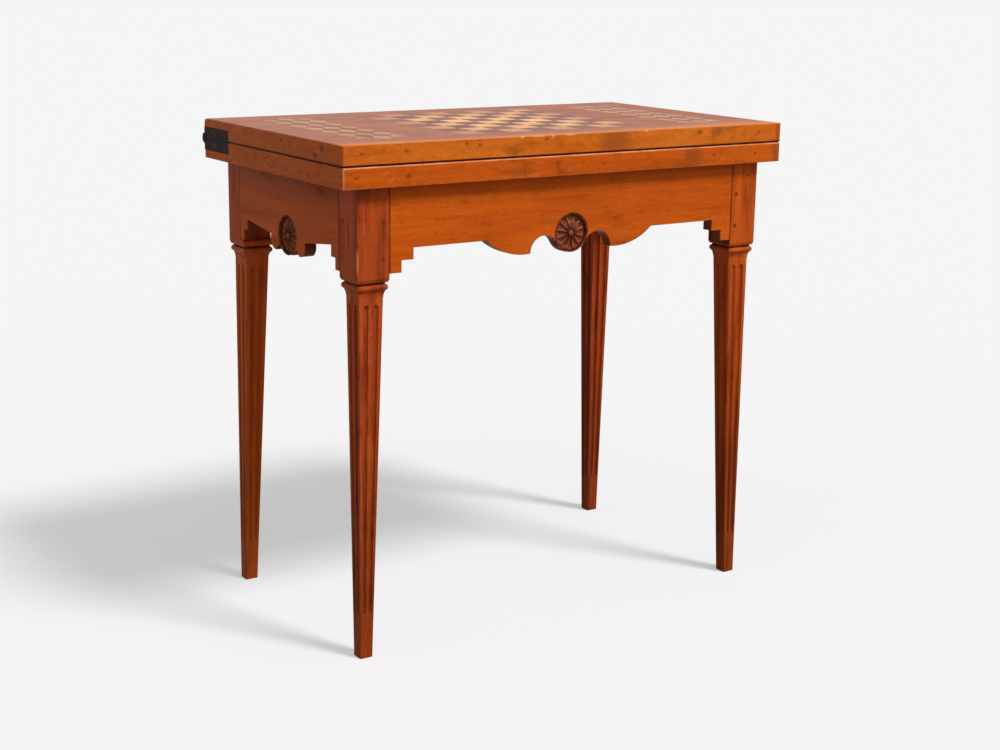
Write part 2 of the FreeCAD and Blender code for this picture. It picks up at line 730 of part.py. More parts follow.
# Legs
def leg_outline():
    """Silhouette of a leg from the outer face (0) to the inner face (post_size), foot first."""
    return [
        ("foot_inset", "0", None),
        ("foot_in", "0", None),
        ("shaft_in", "shaft_top_z", ("cove_radius", -1)),
        ("collar_in", "collar_low", ("collar_radius", 1)),
        ("collar_in", "collar_top", None),
        ("neck_in", "collar_top", None),
        ("neck_in", "post_foot_z", None),
        ("chamfer_in", "post_foot_z", None),
        ("post_size", "chamfer_top", None),
        ("post_size", "frame_top", None),
        ("0", "frame_top", None),
        ("0", "chamfer_top", None),
        ("post_chamfer", "post_foot_z", None),
        ("neck_inset", "post_foot_z", None),
        ("neck_inset", "collar_top", None),
        ("collar_inset", "collar_top", ("collar_radius", 1)),
        ("collar_inset", "collar_low", ("cove_radius", -1)),
        ("shaft_out", "shaft_top_z", None),
    ]


def flute(spots, radii):
    """Cutter for one flute: a many-sided taper between two spots, with blunt rounded ends."""
    along = (spots[1] - spots[0]).normalize()
    first = along.cross(FreeCAD.Vector(1, 1, 0)).normalize()
    second = along.cross(first)
    turns = [2 * math.pi / FLUTE_SIDES * number for number in range(FLUTE_SIDES)]

    def ring(end, share, reach):
        centre = spots[end] + along * reach * radii[end]
        return [centre + (first * math.cos(turn) + second * math.sin(turn)) * radii[end] * share for turn in turns]

    return faceted([ring(0, 0.5, -0.85), ring(0, 1, 0), ring(1, 1, 0), ring(1, 0.5, 0.85)])


def flutes():
    """Tapering round-ended flutes, two on each face of the shaft."""
    ends = []
    for z_name, radius, pitch in (("flute_foot_z", "flute_foot_radius", "flute_foot_pitch"),
                                  ("flute_top_z", "flute_top_radius", "flute_top_pitch")):
        share = measure(z_name) / measure("shaft_top_z")
        outer = measure("foot_inset") + (measure("shaft_out") - measure("foot_inset")) * share
        inner = measure("foot_in") + (measure("shaft_in") - measure("foot_in")) * share
        ends.append((measure(z_name), measure(radius), measure(pitch), outer, inner))
    lift = measure("flute_lift")
    tools = []
    for face in ("outer x", "inner x", "outer y", "inner y"):
        for way in (-0.5, 0.5):
            spots = []
            for z, radius, pitch, outer, inner in ends:
                across = (outer + inner) / 2 + way * pitch
                depth = outer - lift if face.startswith("outer") else inner + lift
                spots.append(FreeCAD.Vector(depth, across, z) if face.endswith("x")
                             else FreeCAD.Vector(across, depth, z))
            tools.append(flute(spots, (ends[0][1], ends[1][1])))
    feature = doc.addObject("Part::Feature", "flutes")
    feature.Shape = Part.makeCompound(tools)
    return feature


def leg_blank():
    """Leg sawn to one silhouette from two faces, then fluted."""
    front = padded("leg_front_view", "XZ_Plane", leg_outline(), "post_size", True)
    side = padded("leg_side_view", "YZ_Plane", leg_outline(), "post_size", False)
    return cut("leg_blank", common("leg_sawn", front, side), [flutes()])


def mortise(name, face, shoulder, near, far, low):
    """Mortise from the inner x or y face of a leg, in the leg's own frame."""
    along = (f"{shoulder} - tenon_length - mortise_gap", "post_size + mortise_gap")
    across = (f"{near} - mortise_gap", f"{far} + mortise_gap")
    height = (f"{low} - mortise_gap", "tenon_top + mortise_gap")
    return box(name, along, across, height) if face == "x" else box(name, across, along, height)


def leg_pegs(name, face, spot, length, heights, oversize=""):
    """Pegs, or their holes, that cross the tenon from the x or y face of a leg."""
    axis = "y" if face == "x" else "x"
    span = ("-peg_proud", f"{length}{oversize}")
    return [prism(f"{name}_{z}", axis, PEG_SIDES, f"peg_radius{oversize}", span, (spot, z)) for z in heights]


SIDE_PEGS = ("peg_low_z", "peg_high_z")
RAIL_PEGS = ("rail_peg_low", "rail_peg_high")
SIDE_TENON = ("tenon_setback", "tenon_setback + tenon_thickness", "tenon_low")
RAIL_TENON = ("rail_tenon_near", "rail_tenon_far", "rail_tenon_low")
LEG_PLACES = {
    "front_left": (0, "-frame_half", "frame_front"),
    "front_right": (90, "frame_half", "frame_front"),
    "rear_right": (180, "frame_half", "frame_back"),
    "rear_left": (-90, "-frame_half", "frame_back"),
}
# For each leg, the joints it takes: face, shoulder, tenon, peg spot, peg length and peg heights
LEG_JOINTS = {
    "front_left": [("x", "post_size", SIDE_TENON, "peg_in", "peg_length", SIDE_PEGS),
                   ("y", "post_size", SIDE_TENON, "peg_in", "peg_length", SIDE_PEGS)],
    "front_right": [("x", "post_size", SIDE_TENON, "peg_in", "peg_length", SIDE_PEGS),
                    ("y", "post_size", SIDE_TENON, "peg_in", "peg_length", SIDE_PEGS)],
    "rear_right": [("x", "post_size", RAIL_TENON, "peg_in", "rail_peg_length", RAIL_PEGS),
                   ("y", "rear_lap", SIDE_TENON, "rear_lap - peg_offset", "peg_length", SIDE_PEGS)],
    "rear_left": [("y", "post_size", RAIL_TENON, "peg_in", "rail_peg_length", RAIL_PEGS)],
}


def leg(corner, blank):
    name = f"{corner}_leg"
    tools = []
    for face, shoulder, (near, far, low), spot, length, heights in LEG_JOINTS[corner]:
        tools.append(mortise(f"{name}_mortise_{face}", face, shoulder, near, far, low))
        tools += leg_pegs(f"{name}_hole_{face}", face, spot, length, heights, " + peg_gap")
    whole = ("-fit_gap", "post_size + fit_gap")
    top = ("lap_floor", "frame_top + fit_gap")
    if corner == "rear_right":
        tools.append(box(f"{name}_lap", whole, ("rear_lap", "post_size + fit_gap"), top))
    if corner == "rear_left":
        tools.append(box(f"{name}_lap", ("rear_post_depth", "post_size + fit_gap"), whole, top))
        tools.append(box(f"{name}_relief", whole, whole, ("swing_top", "frame_top + fit_gap")))
    return stand(cut(name, blank, tools), *LEG_PLACES[corner])


def pegs(name, corners):
    """Draw-bore pegs of the listed legs."""
    pieces = []
    for corner in corners:
        for face, shoulder, tenon_place, spot, length, heights in LEG_JOINTS[corner]:
            in_leg = group(f"{name}_{corner}_{face}", leg_pegs(f"{name}_{corner}_{face}", face, spot, length, heights))
            pieces.append(stand(in_leg, *LEG_PLACES[corner]))
    return group(name, pieces)


# Back rails, wooden knuckle and glue blocks
def inner_back_rail():
    half = "(frame_half - apron_thickness)"
    rail = box("inner_rail_board", (f"-{half}", half), ("inner_rail_front", "lap_y"), ("rail_foot_z", "frame_top"))
    depth = ("inner_rail_front + tenon_setback", "inner_rail_front + tenon_setback + tenon_thickness")
    stubs = box("inner_rail_stubs", (f"-{half} - stub_length", f"{half} + stub_length"), depth,
                ("rail_tenon_low", "tenon_top"))
    return join("inner_back_rail", [rail, stubs])


def finger_room(name, sign, levels, top):
    """Room for the other rail's fingers: round towards the inside, square towards the back."""
    rooms = []
    for level in levels:
        height = (f"rail_foot_z + finger_height * {level} - finger_gap / 2",
                  f"rail_foot_z + finger_height * {level + 1} + finger_gap / 2")
        if level == FINGERS - 1:
            height = (height[0], top)
        rooms.append(cylinder(f"{name}_round_{level}", "z", "knuckle_cut", height, ("knuckle_x", "knuckle_y")))
        across = {1: ("knuckle_x - knuckle_cut", "knuckle_x + knuckle_cut"),
                  -1: ("knuckle_x - knuckle_cut", "knuckle_x + knuckle_cut")}[sign]
        rooms.append(box(f"{name}_square_{level}", across, ("knuckle_y", "rail_back + fit_gap"), height))
    return rooms


def pin_hole(name):
    return cylinder(name, "z", "knuckle_pin_radius + running_gap",
                    ("rail_foot_z - fit_gap", "frame_top + fit_gap"), ("knuckle_x", "knuckle_y"))


def outer_back_rail():
    """Fixed half of the back, from the knuckle to the rear right post."""
    span = ("rail_foot_z", "frame_top")
    rail = box("outer_rail_board", ("knuckle_x", "post_in"), ("lap_y", "rail_back"), span)
    barrel = cylinder("outer_rail_barrel", "z", "knuckle_half", span, ("knuckle_x", "knuckle_y"))
    end = box("outer_rail_tenon", ("post_in", "post_in + tenon_length"),
              ("frame_back - rail_tenon_far", "frame_back - rail_tenon_near"), ("rail_tenon_low", "tenon_top"))
    holes = [prism(f"outer_rail_hole_{z}", "y", PEG_SIDES, "peg_radius + peg_gap", ("lap_y", "rail_back"),
                   ("post_in + peg_offset", z)) for z in RAIL_PEGS]
    rooms = finger_room("outer_rail", 1, (1, 3), "frame_top + fit_gap")
    whole = join("outer_rail_whole", [rail, barrel, end])
    return cut("outer_back_rail", whole, rooms + holes + [pin_hole("outer_rail_pin_hole")])


def fly_rail():
    """Moving half of the back, tenoned into the swing leg."""
    span = ("rail_foot_z", "swing_top")
    rail = box("fly_rail_board", ("-post_in", "knuckle_x"), ("lap_y + swing_gap", "rail_back"), span)
    barrel = cylinder("fly_rail_barrel", "z", "knuckle_half - swing_gap", span, ("knuckle_x", "knuckle_y"))
    end = box("fly_rail_tenon", ("-post_in - tenon_length", "-post_in"),
              ("frame_back - rail_tenon_far", "frame_back - rail_tenon_near"), ("rail_tenon_low", "tenon_top"))
    holes = [prism(f"fly_rail_hole_{z}", "y", PEG_SIDES, "peg_radius + peg_gap", ("lap_y", "rail_back"),
                   ("-post_in - peg_offset", z)) for z in RAIL_PEGS]
    rooms = finger_room("fly_rail", -1, (0, 2, 4), "frame_top + fit_gap")
    whole = join("fly_rail_whole", [rail, barrel, end])
    return cut("fly_rail", whole, rooms + holes + [pin_hole("fly_rail_pin_hole")])


def knuckle_pin():
    return cylinder("knuckle_pin", "z", "knuckle_pin_radius",
                    ("rail_foot_z - knuckle_pin_margin", "frame_top - knuckle_pin_margin"),
                    ("knuckle_x", "knuckle_y"))


def glue_blocks():
    """Softwood blocks rubbed into the corner between the frame and the lower leaf."""
    height = ("frame_top - block_size", "frame_top")
    long_rows = {"front": ("frame_front + apron_thickness", "frame_front + apron_thickness + block_size"),
                 "back": ("inner_rail_front - block_size", "inner_rail_front")}
    pieces = []
    for label, depth in long_rows.items():
        for sign in ("-", ""):
            across = (f"{sign}block_u - block_length / 2", f"{sign}block_u + block_length / 2")
            pieces.append(box(f"block_{label}_{len(pieces)}", across, depth, height))
    along = ("side_middle - block_length / 2", "side_middle + block_length / 2")
    inside = "frame_half - apron_thickness"
    pieces.append(box("block_left", (f"-({inside})", f"-({inside}) + block_size"), along, height))
    pieces.append(box("block_right", (f"{inside} - block_size", inside), along, height))
    return group("glue_blocks", pieces)


blank = leg_blank()
subparts = [
    lower_leaf(),
    upper_leaf(),
    squares("light_squares", 0),
    squares("dark_squares", 1),
    lozenges("light_lozenges", "light"),
    lozenges("dark_lozenges", "dark"),
    lozenges("edge_lozenges", "edge"),
    hinge_screws("lower_hinge_screws", "plate_mid_low"),
    hinge_screws("upper_hinge_screws", "plate_mid_high"),
    front_apron(),
    side_apron("left", -90, 1, "-frame_half"),
    side_apron("right", 90, -1, "frame_half"),
    rosette("front", 0, "0", "frame_front"),
    rosette("left", -90, "-frame_half", "side_middle"),
    rosette("right", 90, "frame_half", "side_middle"),
    pegs("tenon_pegs", ("front_left", "front_right", "rear_right")),
    pegs("swing_leg_pegs", ("rear_left",)),
    inner_back_rail(),
    outer_back_rail(),
    fly_rail(),
    knuckle_pin(),
    glue_blocks(),
]
subparts += [make(side) for make in (lower_plate, upper_plate, hinge_pin) for side in ("left", "right")]
subparts += [leg(corner, blank) for corner in LEG_PLACES]
for subpart in subparts:
    subpart.Label = subpart.Name
doc.recompute()

for feature in doc.Objects:
    if "Invalid" in feature.State or "Error" in feature.State:
        raise RuntimeError(f"{feature.Name} failed: {feature.State}")
for subpart in subparts:
    if subpart.Shape.isNull() or not subpart.Shape.isValid():
        raise RuntimeError(f"{subpart.Label} has no valid shape")
for subpart in subparts:
    subpart.Shape.exportStep(f"parts/{subpart.Label}.step")
print(len(subparts), "sub-parts,", sum(len(subpart.Shape.Solids) for subpart in subparts), "solids")
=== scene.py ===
import json
import math

import bmesh
import bpy
from mathutils import Matrix, Vector


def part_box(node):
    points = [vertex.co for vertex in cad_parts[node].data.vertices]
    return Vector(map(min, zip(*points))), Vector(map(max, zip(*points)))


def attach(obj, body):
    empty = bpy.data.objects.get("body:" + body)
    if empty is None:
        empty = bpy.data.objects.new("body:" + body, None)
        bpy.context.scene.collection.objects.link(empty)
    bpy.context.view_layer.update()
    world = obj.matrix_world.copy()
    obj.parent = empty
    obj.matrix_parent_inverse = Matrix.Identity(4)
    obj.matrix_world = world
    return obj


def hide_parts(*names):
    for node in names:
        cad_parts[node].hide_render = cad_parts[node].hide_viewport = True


# Fold-over games table in waxed fruitwood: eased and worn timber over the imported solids, an inlaid
# chessboard between two lozenge bands, carved rosettes and blackened iron end hinges.
# Metres throughout.
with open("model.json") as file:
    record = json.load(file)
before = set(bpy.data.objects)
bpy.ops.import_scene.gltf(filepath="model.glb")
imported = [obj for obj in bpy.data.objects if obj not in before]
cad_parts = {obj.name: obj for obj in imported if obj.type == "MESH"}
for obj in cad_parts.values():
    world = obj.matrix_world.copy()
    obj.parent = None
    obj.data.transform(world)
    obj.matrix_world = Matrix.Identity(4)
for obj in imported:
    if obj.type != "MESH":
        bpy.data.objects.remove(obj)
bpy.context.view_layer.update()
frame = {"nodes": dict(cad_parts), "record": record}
nodes = frame["nodes"]
bodies = frame["record"]["behaviour"]["bodies"]
body_of_node = {node: body for body, members in bodies.items() for node in members}

upper_low, upper_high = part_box("upper_leaf")
lower_low, lower_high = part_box("lower_leaf")
front_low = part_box("front_apron")[0]
side_low, side_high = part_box("left_apron")
board_low, board_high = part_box("light_squares")
leg_low, leg_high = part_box("front_left_leg")
SQUARE = (board_high.x - board_low.x) / 8
BOARD_Y = (board_low.y + board_high.y) / 2
# Sizes of the solids that their boxes do not give
LOZENGE_WIDTH = 0.029
LOZENGE_LENGTH = 0.050
BAND_X = 0.294
POST_FOOT_Z = 0.563
COLLAR_TOP_Z = 0.5605


# Shader building
# Numbers of the colour sockets of a mix node
MIX_SHARE, MIX_FIRST, MIX_SECOND, MIX_RESULT = 0, 6, 7, 2


def grey(level):
    return (level, level, level)


class Value:
    """A number, vector or colour at a socket; operators on it add the matching nodes."""

    def __init__(self, recipe, socket):
        self.recipe = recipe
        self.socket = socket

    def math(self, operation, *inputs):
        return self.recipe.node("ShaderNodeMath", {"operation": operation}, dict(enumerate(inputs)))

    def __add__(self, other):
        return self.math("ADD", self, other)

    def __radd__(self, other):
        return self.math("ADD", other, self)

    def __sub__(self, other):
        return self.math("SUBTRACT", self, other)

    def __rsub__(self, other):
        return self.math("SUBTRACT", other, self)

    def __mul__(self, other):
        return self.math("MULTIPLY", self, other)

    def __rmul__(self, other):
        return self.math("MULTIPLY", other, self)

    def __truediv__(self, other):
        return self.math("DIVIDE", self, other)

    def __abs__(self):
        return self.math("ABSOLUTE", self)

    def floor(self):
        return self.math("FLOOR", self)

    def least(self, other):
        return self.math("MINIMUM", self, other)

    def most(self, other):
        return self.math("MAXIMUM", self, other)

    def rise(self, low, high):
        """0 below low, 1 above high and smooth between; with low above high it falls instead."""
        limits = {"Value": self, "From Min": low, "From Max": high}
        return self.recipe.node("ShaderNodeMapRange", {"interpolation_type": "SMOOTHSTEP"}, limits)


class Recipe:
    """A node tree under construction."""

    def __init__(self, tree):
        self.tree = tree
        self.place = self.node("ShaderNodeTexCoord", {}, {}, "Object")
        axes = self.node("ShaderNodeSeparateXYZ", {}, {0: self.place}, "X", "Y", "Z")
        self.x, self.y, self.z = axes

    def put(self, socket, value):
        if isinstance(value, Value):
            self.tree.links.new(value.socket, socket)
        elif socket.type == "RGBA" and len(value) == 3:
            socket.default_value = (*value, 1)
        else:
            socket.default_value = value

    def node(self, kind, settings, inputs, *outputs):
        """New node: settings first, then inputs by name or number. Gives one output, or a list of
        named ones."""
        made = self.tree.nodes.new(kind)
        for key, setting in settings.items():
            if key == "stops":
                while len(made.color_ramp.elements) < len(setting):
                    made.color_ramp.elements.new(1)
                for element, (position, colour) in zip(made.color_ramp.elements, setting):
                    element.position = position
                    element.color = (*colour, 1)
            else:
                setattr(made, key, setting)
        for key, value in inputs.items():
            self.put(made.inputs[key], value)
        values = [Value(self, made.outputs[output]) for output in outputs or (0,)]
        return values if len(values) > 1 else values[0]

    def scaled(self, scale, shift=(0, 0, 0)):
        inputs = {"Vector": self.place, "Scale": scale, "Location": shift}
        return self.node("ShaderNodeMapping", {}, inputs)

    def noise(self, vector, scale, detail=3, roughness=0.55, distortion=0.0):
        inputs = {"Vector": vector, "Scale": scale, "Detail": detail, "Roughness": roughness,
                  "Distortion": distortion}
        return self.node("ShaderNodeTexNoise", {}, inputs)

    def ramp(self, tone, *stops):
        return self.node("ShaderNodeValToRGB", {"stops": stops}, {0: tone})

    def mix(self, share, first, second, blend="MIX"):
        settings = {"data_type": "RGBA", "blend_type": blend}
        inputs = {MIX_SHARE: share, MIX_FIRST: first, MIX_SECOND: second}
        return self.node("ShaderNodeMix", settings, inputs, MIX_RESULT)

    def shade(self, colour, share, factor):
        """Colour darkened by a factor where share is 1."""
        return self.mix(share, colour, grey(factor), "MULTIPLY")

    def bump(self, height, strength, distance):
        inputs = {"Height": height, "Strength": strength, "Distance": distance}
        return self.node("ShaderNodeBump", {}, inputs)

    def background_rays(self):
        """1 for what the camera sees straight, in a mirror or through glass."""
        rays = ("Is Camera Ray", "Is Glossy Ray", "Is Transmission Ray")
        straight, glossy, through = self.node("ShaderNodeLightPath", {}, {}, *rays)
        return straight.most(glossy).most(through)


def new_material(name):
    material = bpy.data.materials.new(name)
    material.use_nodes = True
    return material, Recipe(material.node_tree)


def finish(material, recipe, **inputs):
    shader = material.node_tree.nodes["Principled BSDF"]
    for name, value in inputs.items():
        recipe.put(shader.inputs[name.replace("_", " ")], value)
    return material


# Colours, dark, middle and light of each wood
HONEY = ((0.360, 0.066, 0.005), (0.570, 0.122, 0.009), (0.670, 0.180, 0.018))
ORANGE = ((0.350, 0.052, 0.004), (0.520, 0.086, 0.005), (0.610, 0.120, 0.008))
RUSSET = ((0.270, 0.038, 0.007), (0.460, 0.068, 0.012), (0.600, 0.100, 0.019))
AMBER = ((0.300, 0.044, 0.005), (0.450, 0.072, 0.006), (0.560, 0.104, 0.010))
CARVED = ((0.090, 0.021, 0.009), (0.175, 0.042, 0.018), (0.285, 0.072, 0.030))
# Pale wood: rubbed bare at chips and corners, and painted as highlight on the lower leaf's arrises
# and the carved ridges
BARE_AND_HIGHLIGHT = ((0.560, 0.160, 0.055), (0.700, 0.235, 0.085), (0.800, 0.310, 0.130))
MAPLE = ((0.540, 0.230, 0.075), (0.820, 0.400, 0.140), (0.900, 0.500, 0.200))
TAN = ((0.400, 0.140, 0.042), (0.520, 0.205, 0.070), (0.600, 0.255, 0.100))
WALNUT = ((0.120, 0.020, 0.005), (0.180, 0.034, 0.008), (0.250, 0.055, 0.014))
UMBER = ((0.150, 0.030, 0.007), (0.215, 0.048, 0.012), (0.290, 0.074, 0.020))
GROUND = ((0.210, 0.048, 0.013), (0.310, 0.080, 0.022), (0.410, 0.120, 0.036))
BRUISE = (0.120, 0.024, 0.005)
CLOUD = (0.240, 0.058, 0.012)
# Dark painted as shade in the gap under the upper leaf and in the sunk rings of the carving
PAINTED_SHADE = (0.040, 0.005, 0.003)
SAWN = (0.085, 0.020, 0.010)
IRON = ((0.010, 0.004, 0.004), (0.034, 0.014, 0.013))
RUST = (0.050, 0.016, 0.010)
FILED_IRON = (0.115, 0.080, 0.070)
PINE = ((0.30, 0.16, 0.06), (0.55, 0.34, 0.16))

# Stretch of the grain and of the figure along each axis
GRAIN = {"x": (0.05, 1, 1), "y": (1, 0.05, 1), "z": (1, 1, 0.05)}
FIGURE = {"x": (0.25, 1, 1), "y": (1, 0.25, 1), "z": (1, 1, 0.25)}
WOOD_SHEEN = 0.04
WAX_ROUGHNESS = 0.24

# Spans over which a mask goes from 0 to 1: towards a side of the table, up a side apron under the
# leaves, where it sets painted shade, and down a leg's shaft
TO_RIGHT = (0.25, 0.30)
TO_LEFT = (-0.25, -0.30)
TO_FRONT = (0.0, -0.1)
TO_REAR = (0.0, 0.1)
SHADE_UNDER_LEAVES = (0.635, 0.690)
DOWN_SHAFT = (0.54, 0.08)
POST_BLEND = 0.03

# Marks on the leaves and posts: a place on the face, then half sizes along its two coordinates
ARRIS_CHIPS = (
    ((-0.104, 0.001), (0.004, 0.0022)), ((-0.074, 0.001), (0.011, 0.0016)),
    ((-0.050, 0.001), (0.003, 0.0034)), ((-0.018, 0.001), (0.008, 0.0014)),
    ((0.123, 0.001), (0.005, 0.0022)),
)
UPPER_KNOTS = (
    ((0.352, 0.7474), (0.0042, 0.0022)), ((-0.369, 0.7475), (0.0045, 0.0024)),
    ((-0.298, 0.7482), (0.0050, 0.0030)), ((-0.1995, 0.7534), (0.0030, 0.0030)),
    ((-0.1775, 0.7510), (0.0030, 0.0030)), ((-0.061, 0.7543), (0.0040, 0.0022)),
    ((0.2295, 0.7525), (0.0060, 0.0040)),
)
UPPER_CLOUDS = (
    ((0.066, 0.744), (0.032, 0.030)), ((0.264, 0.7526), (0.012, 0.008)),
    ((0.393, 0.744), (0.006, 0.040)), ((-0.120, 0.740), (0.020, 0.006)),
)
LEFT_DENTS = (
    ((-0.171, 0.7498), (0.006, 0.004)), ((-0.150, 0.7395), (0.007, 0.004)),
    ((-0.045, 0.7505), (0.004, 0.003)),
)
LOWER_KNOTS = (
    ((0.3458, 0.7143), (0.0035, 0.0024)), ((0.260, 0.7154), (0.0042, 0.0020)),
    ((0.0445, 0.7124), (0.0032, 0.0017)), ((-0.378, 0.7140), (0.0040, 0.0020)),
    ((-0.2946, 0.7134), (0.0050, 0.0035)),
)
LOWER_CLOUDS = (
    ((0.218, 0.714), (0.018, 0.022)), ((0.390, 0.714), (0.008, 0.024)),
    ((-0.110, 0.709), (0.030, 0.005)),
)
POST_HOLE = ((0.3495, 0.6767), (0.0022, 0.0022))
RUBBED_CORNER = ((leg_low.x, 0.596), (0.0022, 0.017))


def timber(name, along, tones, shift=(0, 0, 0), rubbed=0.0, blotched=0.6, details=None):
    """Waxed fruitwood with its grain along one axis, pores, flecks and stains; details add a
    piece's own marks."""
    material, recipe = new_material(name)
    grain = recipe.scaled(GRAIN[along], shift)
    figure = recipe.scaled(FIGURE[along], shift)
    streaks = recipe.noise(grain, 95, 5, 0.62, 0.6)
    threads = recipe.noise(grain, 620, 3, 0.6)
    drift = recipe.noise(figure, 11, 3, 0.5, 0.8)
    mottle = recipe.noise(figure, 46, 4, 0.6)
    flecks = recipe.noise(figure, 260, 3, 0.6)
    blotches = recipe.noise(recipe.place, 64, 4, 0.65, 0.5)
    dark, middle, light = tones
    tone = streaks * 0.32 + drift * 0.28 + threads * 0.10 + flecks * 0.15 + blotches * 0.15
    colour = recipe.ramp(tone, (0.34, dark), (0.50, middle), (0.64, light))
    pores = threads.rise(0.60, 0.74)
    stains = mottle.rise(0.54, 0.74)
    specks = flecks.rise(0.60, 0.72)
    colour = recipe.shade(colour, pores * 0.5, 0.55)
    colour = recipe.shade(colour, stains * 0.65, 0.55)
    colour = recipe.shade(colour, blotches.rise(0.50, 0.72) * blotched, 0.50)
    colour = recipe.shade(colour, specks * 0.7, 0.5)
    pale = tuple(min(1, 1.2 * channel + 0.05) for channel in light)
    scuffs = recipe.noise(figure, 120, 5, 0.7, 0.4).rise(0.56, 0.74)
    colour = recipe.mix(scuffs * blotched * 0.45, colour, pale)
    if rubbed:
        patches = recipe.noise(recipe.place, 22, 2, 0.5).rise(0.40, 0.58)
        bare = (recipe.noise(recipe.place, 150, 4, 0.65) * 0.6 + patches * 0.4).rise(0.42, 0.66)
        colour = recipe.mix(bare * rubbed, colour, pale)
    # Painted shade: flutes, coves, grooves and other hollows are darkened
    hollow = recipe.node("ShaderNodeAttribute", {"attribute_name": "hollow"}, {}, "Fac")
    colour = recipe.shade(colour, hollow * 0.42, 0.42)
    gloss = 0.46 + stains * 0.14 + pores * 0.10 - drift * 0.10
    relief = streaks * 0.5 + threads * 0.35 + drift * 1.6 - specks * 0.4
    wax = 0.0
    if details:
        colour, wax = details(recipe, colour)
    return finish(material, recipe, Base_Color=colour, Roughness=gloss,
                  Normal=recipe.bump(relief, 0.35, 0.0006), Specular_IOR_Level=WOOD_SHEEN,
                  Coat_Weight=wax, Coat_Roughness=WAX_ROUGHNESS)


def on_face(coordinate, face):
    """1 within 1 mm of a face at the low end of a coordinate, 0 from 4 mm on."""
    return coordinate.rise(face + 0.004, face + 0.001)


def spots(recipe, colour, first, second, places, tint, share):
    """Ragged round marks of given half sizes at places on a face, along its two coordinates."""
    ragged = (recipe.noise(recipe.place, 190, 3, 0.6) - 0.5) * 2.2
    for (u, v), (half_u, half_v) in places:
        far_u = (first - u) / half_u
        far_v = (second - v) / half_v
        inside = (far_u * far_u + far_v * far_v + ragged).rise(1.6, 0.1)
        colour = recipe.mix(inside * share, colour, tint)
    return colour


def seam(recipe, colour, coordinate, *places):
    """Dirt in the joint lines at places along a coordinate."""
    for place in places:
        colour = recipe.shade(colour, abs(coordinate - place).rise(0.0016, 0.0006) * 0.8, 0.18)
    return colour


def cut_edge(recipe, colour, behind):
    """Sawn edges and inner faces, behind the polished outer face, are darker."""
    return recipe.mix(behind.rise(0.0008, 0.0030) * 0.8, colour, SAWN)


def front_joints(recipe, colour):
    colour = cut_edge(recipe, colour, recipe.y - front_low.y)
    return seam(recipe, colour, abs(recipe.x), -leg_high.x), 0.0


def side_joints(recipe, colour):
    colour = cut_edge(recipe, colour, -side_low.x - abs(recipe.x))
    # Painted shade: side aprons darker towards the top, under the overhang of the leaves
    colour = recipe.shade(colour, recipe.z.rise(*SHADE_UNDER_LEAVES), 0.72)
    return seam(recipe, colour, recipe.y, leg_high.y, side_high.y), 0.0


def end_fibres(recipe, colour, reach):
    """Both ends of a leaf have their fibres cut short and drink more finish."""
    ends = abs(recipe.x).rise(reach - 0.003, reach - 0.001)
    fibres = recipe.noise(recipe.scaled((1, 0.3, 1)), 210, 4, 0.7)
    return recipe.mix(ends * 0.8, colour, recipe.ramp(fibres, (0.3, ORANGE[0]), (0.7, ORANGE[2])))


def leaf_top(recipe, colour):
    """The top of the upper leaf is browner than its edges, waxed, and worn to honey along the front
    and at the right; its front arris is chipped, and its arris over the gap below is painted dark as
    shade."""
    top = recipe.z.rise(upper_high.z - 0.0020, upper_high.z - 0.0005)
    threads = recipe.noise(recipe.scaled(GRAIN["x"]), 170, 4, 0.6)
    blotches = recipe.noise(recipe.scaled((0.5, 1, 1)), 26, 4, 0.6)
    dark, middle, light = GROUND
    plain = recipe.ramp(threads * 0.6 + blotches * 0.4, (0.32, dark), (0.50, middle), (0.68, light))
    scatter = recipe.noise(recipe.scaled((0.3, 1, 1)), 60, 5, 0.7)
    reach = 0.036 + recipe.x.rise(0.05, 0.40) * 0.050
    front = ((recipe.y - upper_low.y + (scatter - 0.5) * 0.06) / reach).rise(1.0, 0.1)
    colour = recipe.mix(top, colour, recipe.mix(front * 0.70, plain, HONEY[2]))
    from_arris = recipe.y - upper_low.y + upper_high.z - recipe.z
    colour = spots(recipe, colour, recipe.x, from_arris, ARRIS_CHIPS, BARE_AND_HIGHLIGHT[2], 0.6)
    near_rim = (recipe.y - upper_low.y).least(upper_high.x - abs(recipe.x)).rise(0.009, 0.002)
    # Painted shade on the upper leaf's lower arris, over the gap between the leaves
    gap_shade = recipe.z.rise(upper_low.z + 0.0036, upper_low.z + 0.0020) * near_rim
    wax = top * (0.11 - recipe.x.rise(-0.05, 0.40) * 0.06)
    return recipe.mix(gap_shade, colour, PAINTED_SHADE), wax


def upper_marks(recipe, colour):
    """Knots, bruises and a dark cloud on the front and left edges of the upper leaf."""
    colour = end_fibres(recipe, colour, upper_high.x)
    front = spots(recipe, colour, recipe.x, recipe.z, UPPER_CLOUDS, CLOUD, 0.6)
    front = spots(recipe, front, recipe.x, recipe.z, UPPER_KNOTS, BRUISE, 0.6)
    colour = recipe.mix(on_face(recipe.y, upper_low.y), colour, front)
    left = spots(recipe, colour, recipe.y, recipe.z, LEFT_DENTS, BRUISE, 0.8)
    colour = recipe.mix(on_face(recipe.x, upper_low.x), colour, left)
    return leaf_top(recipe, colour)


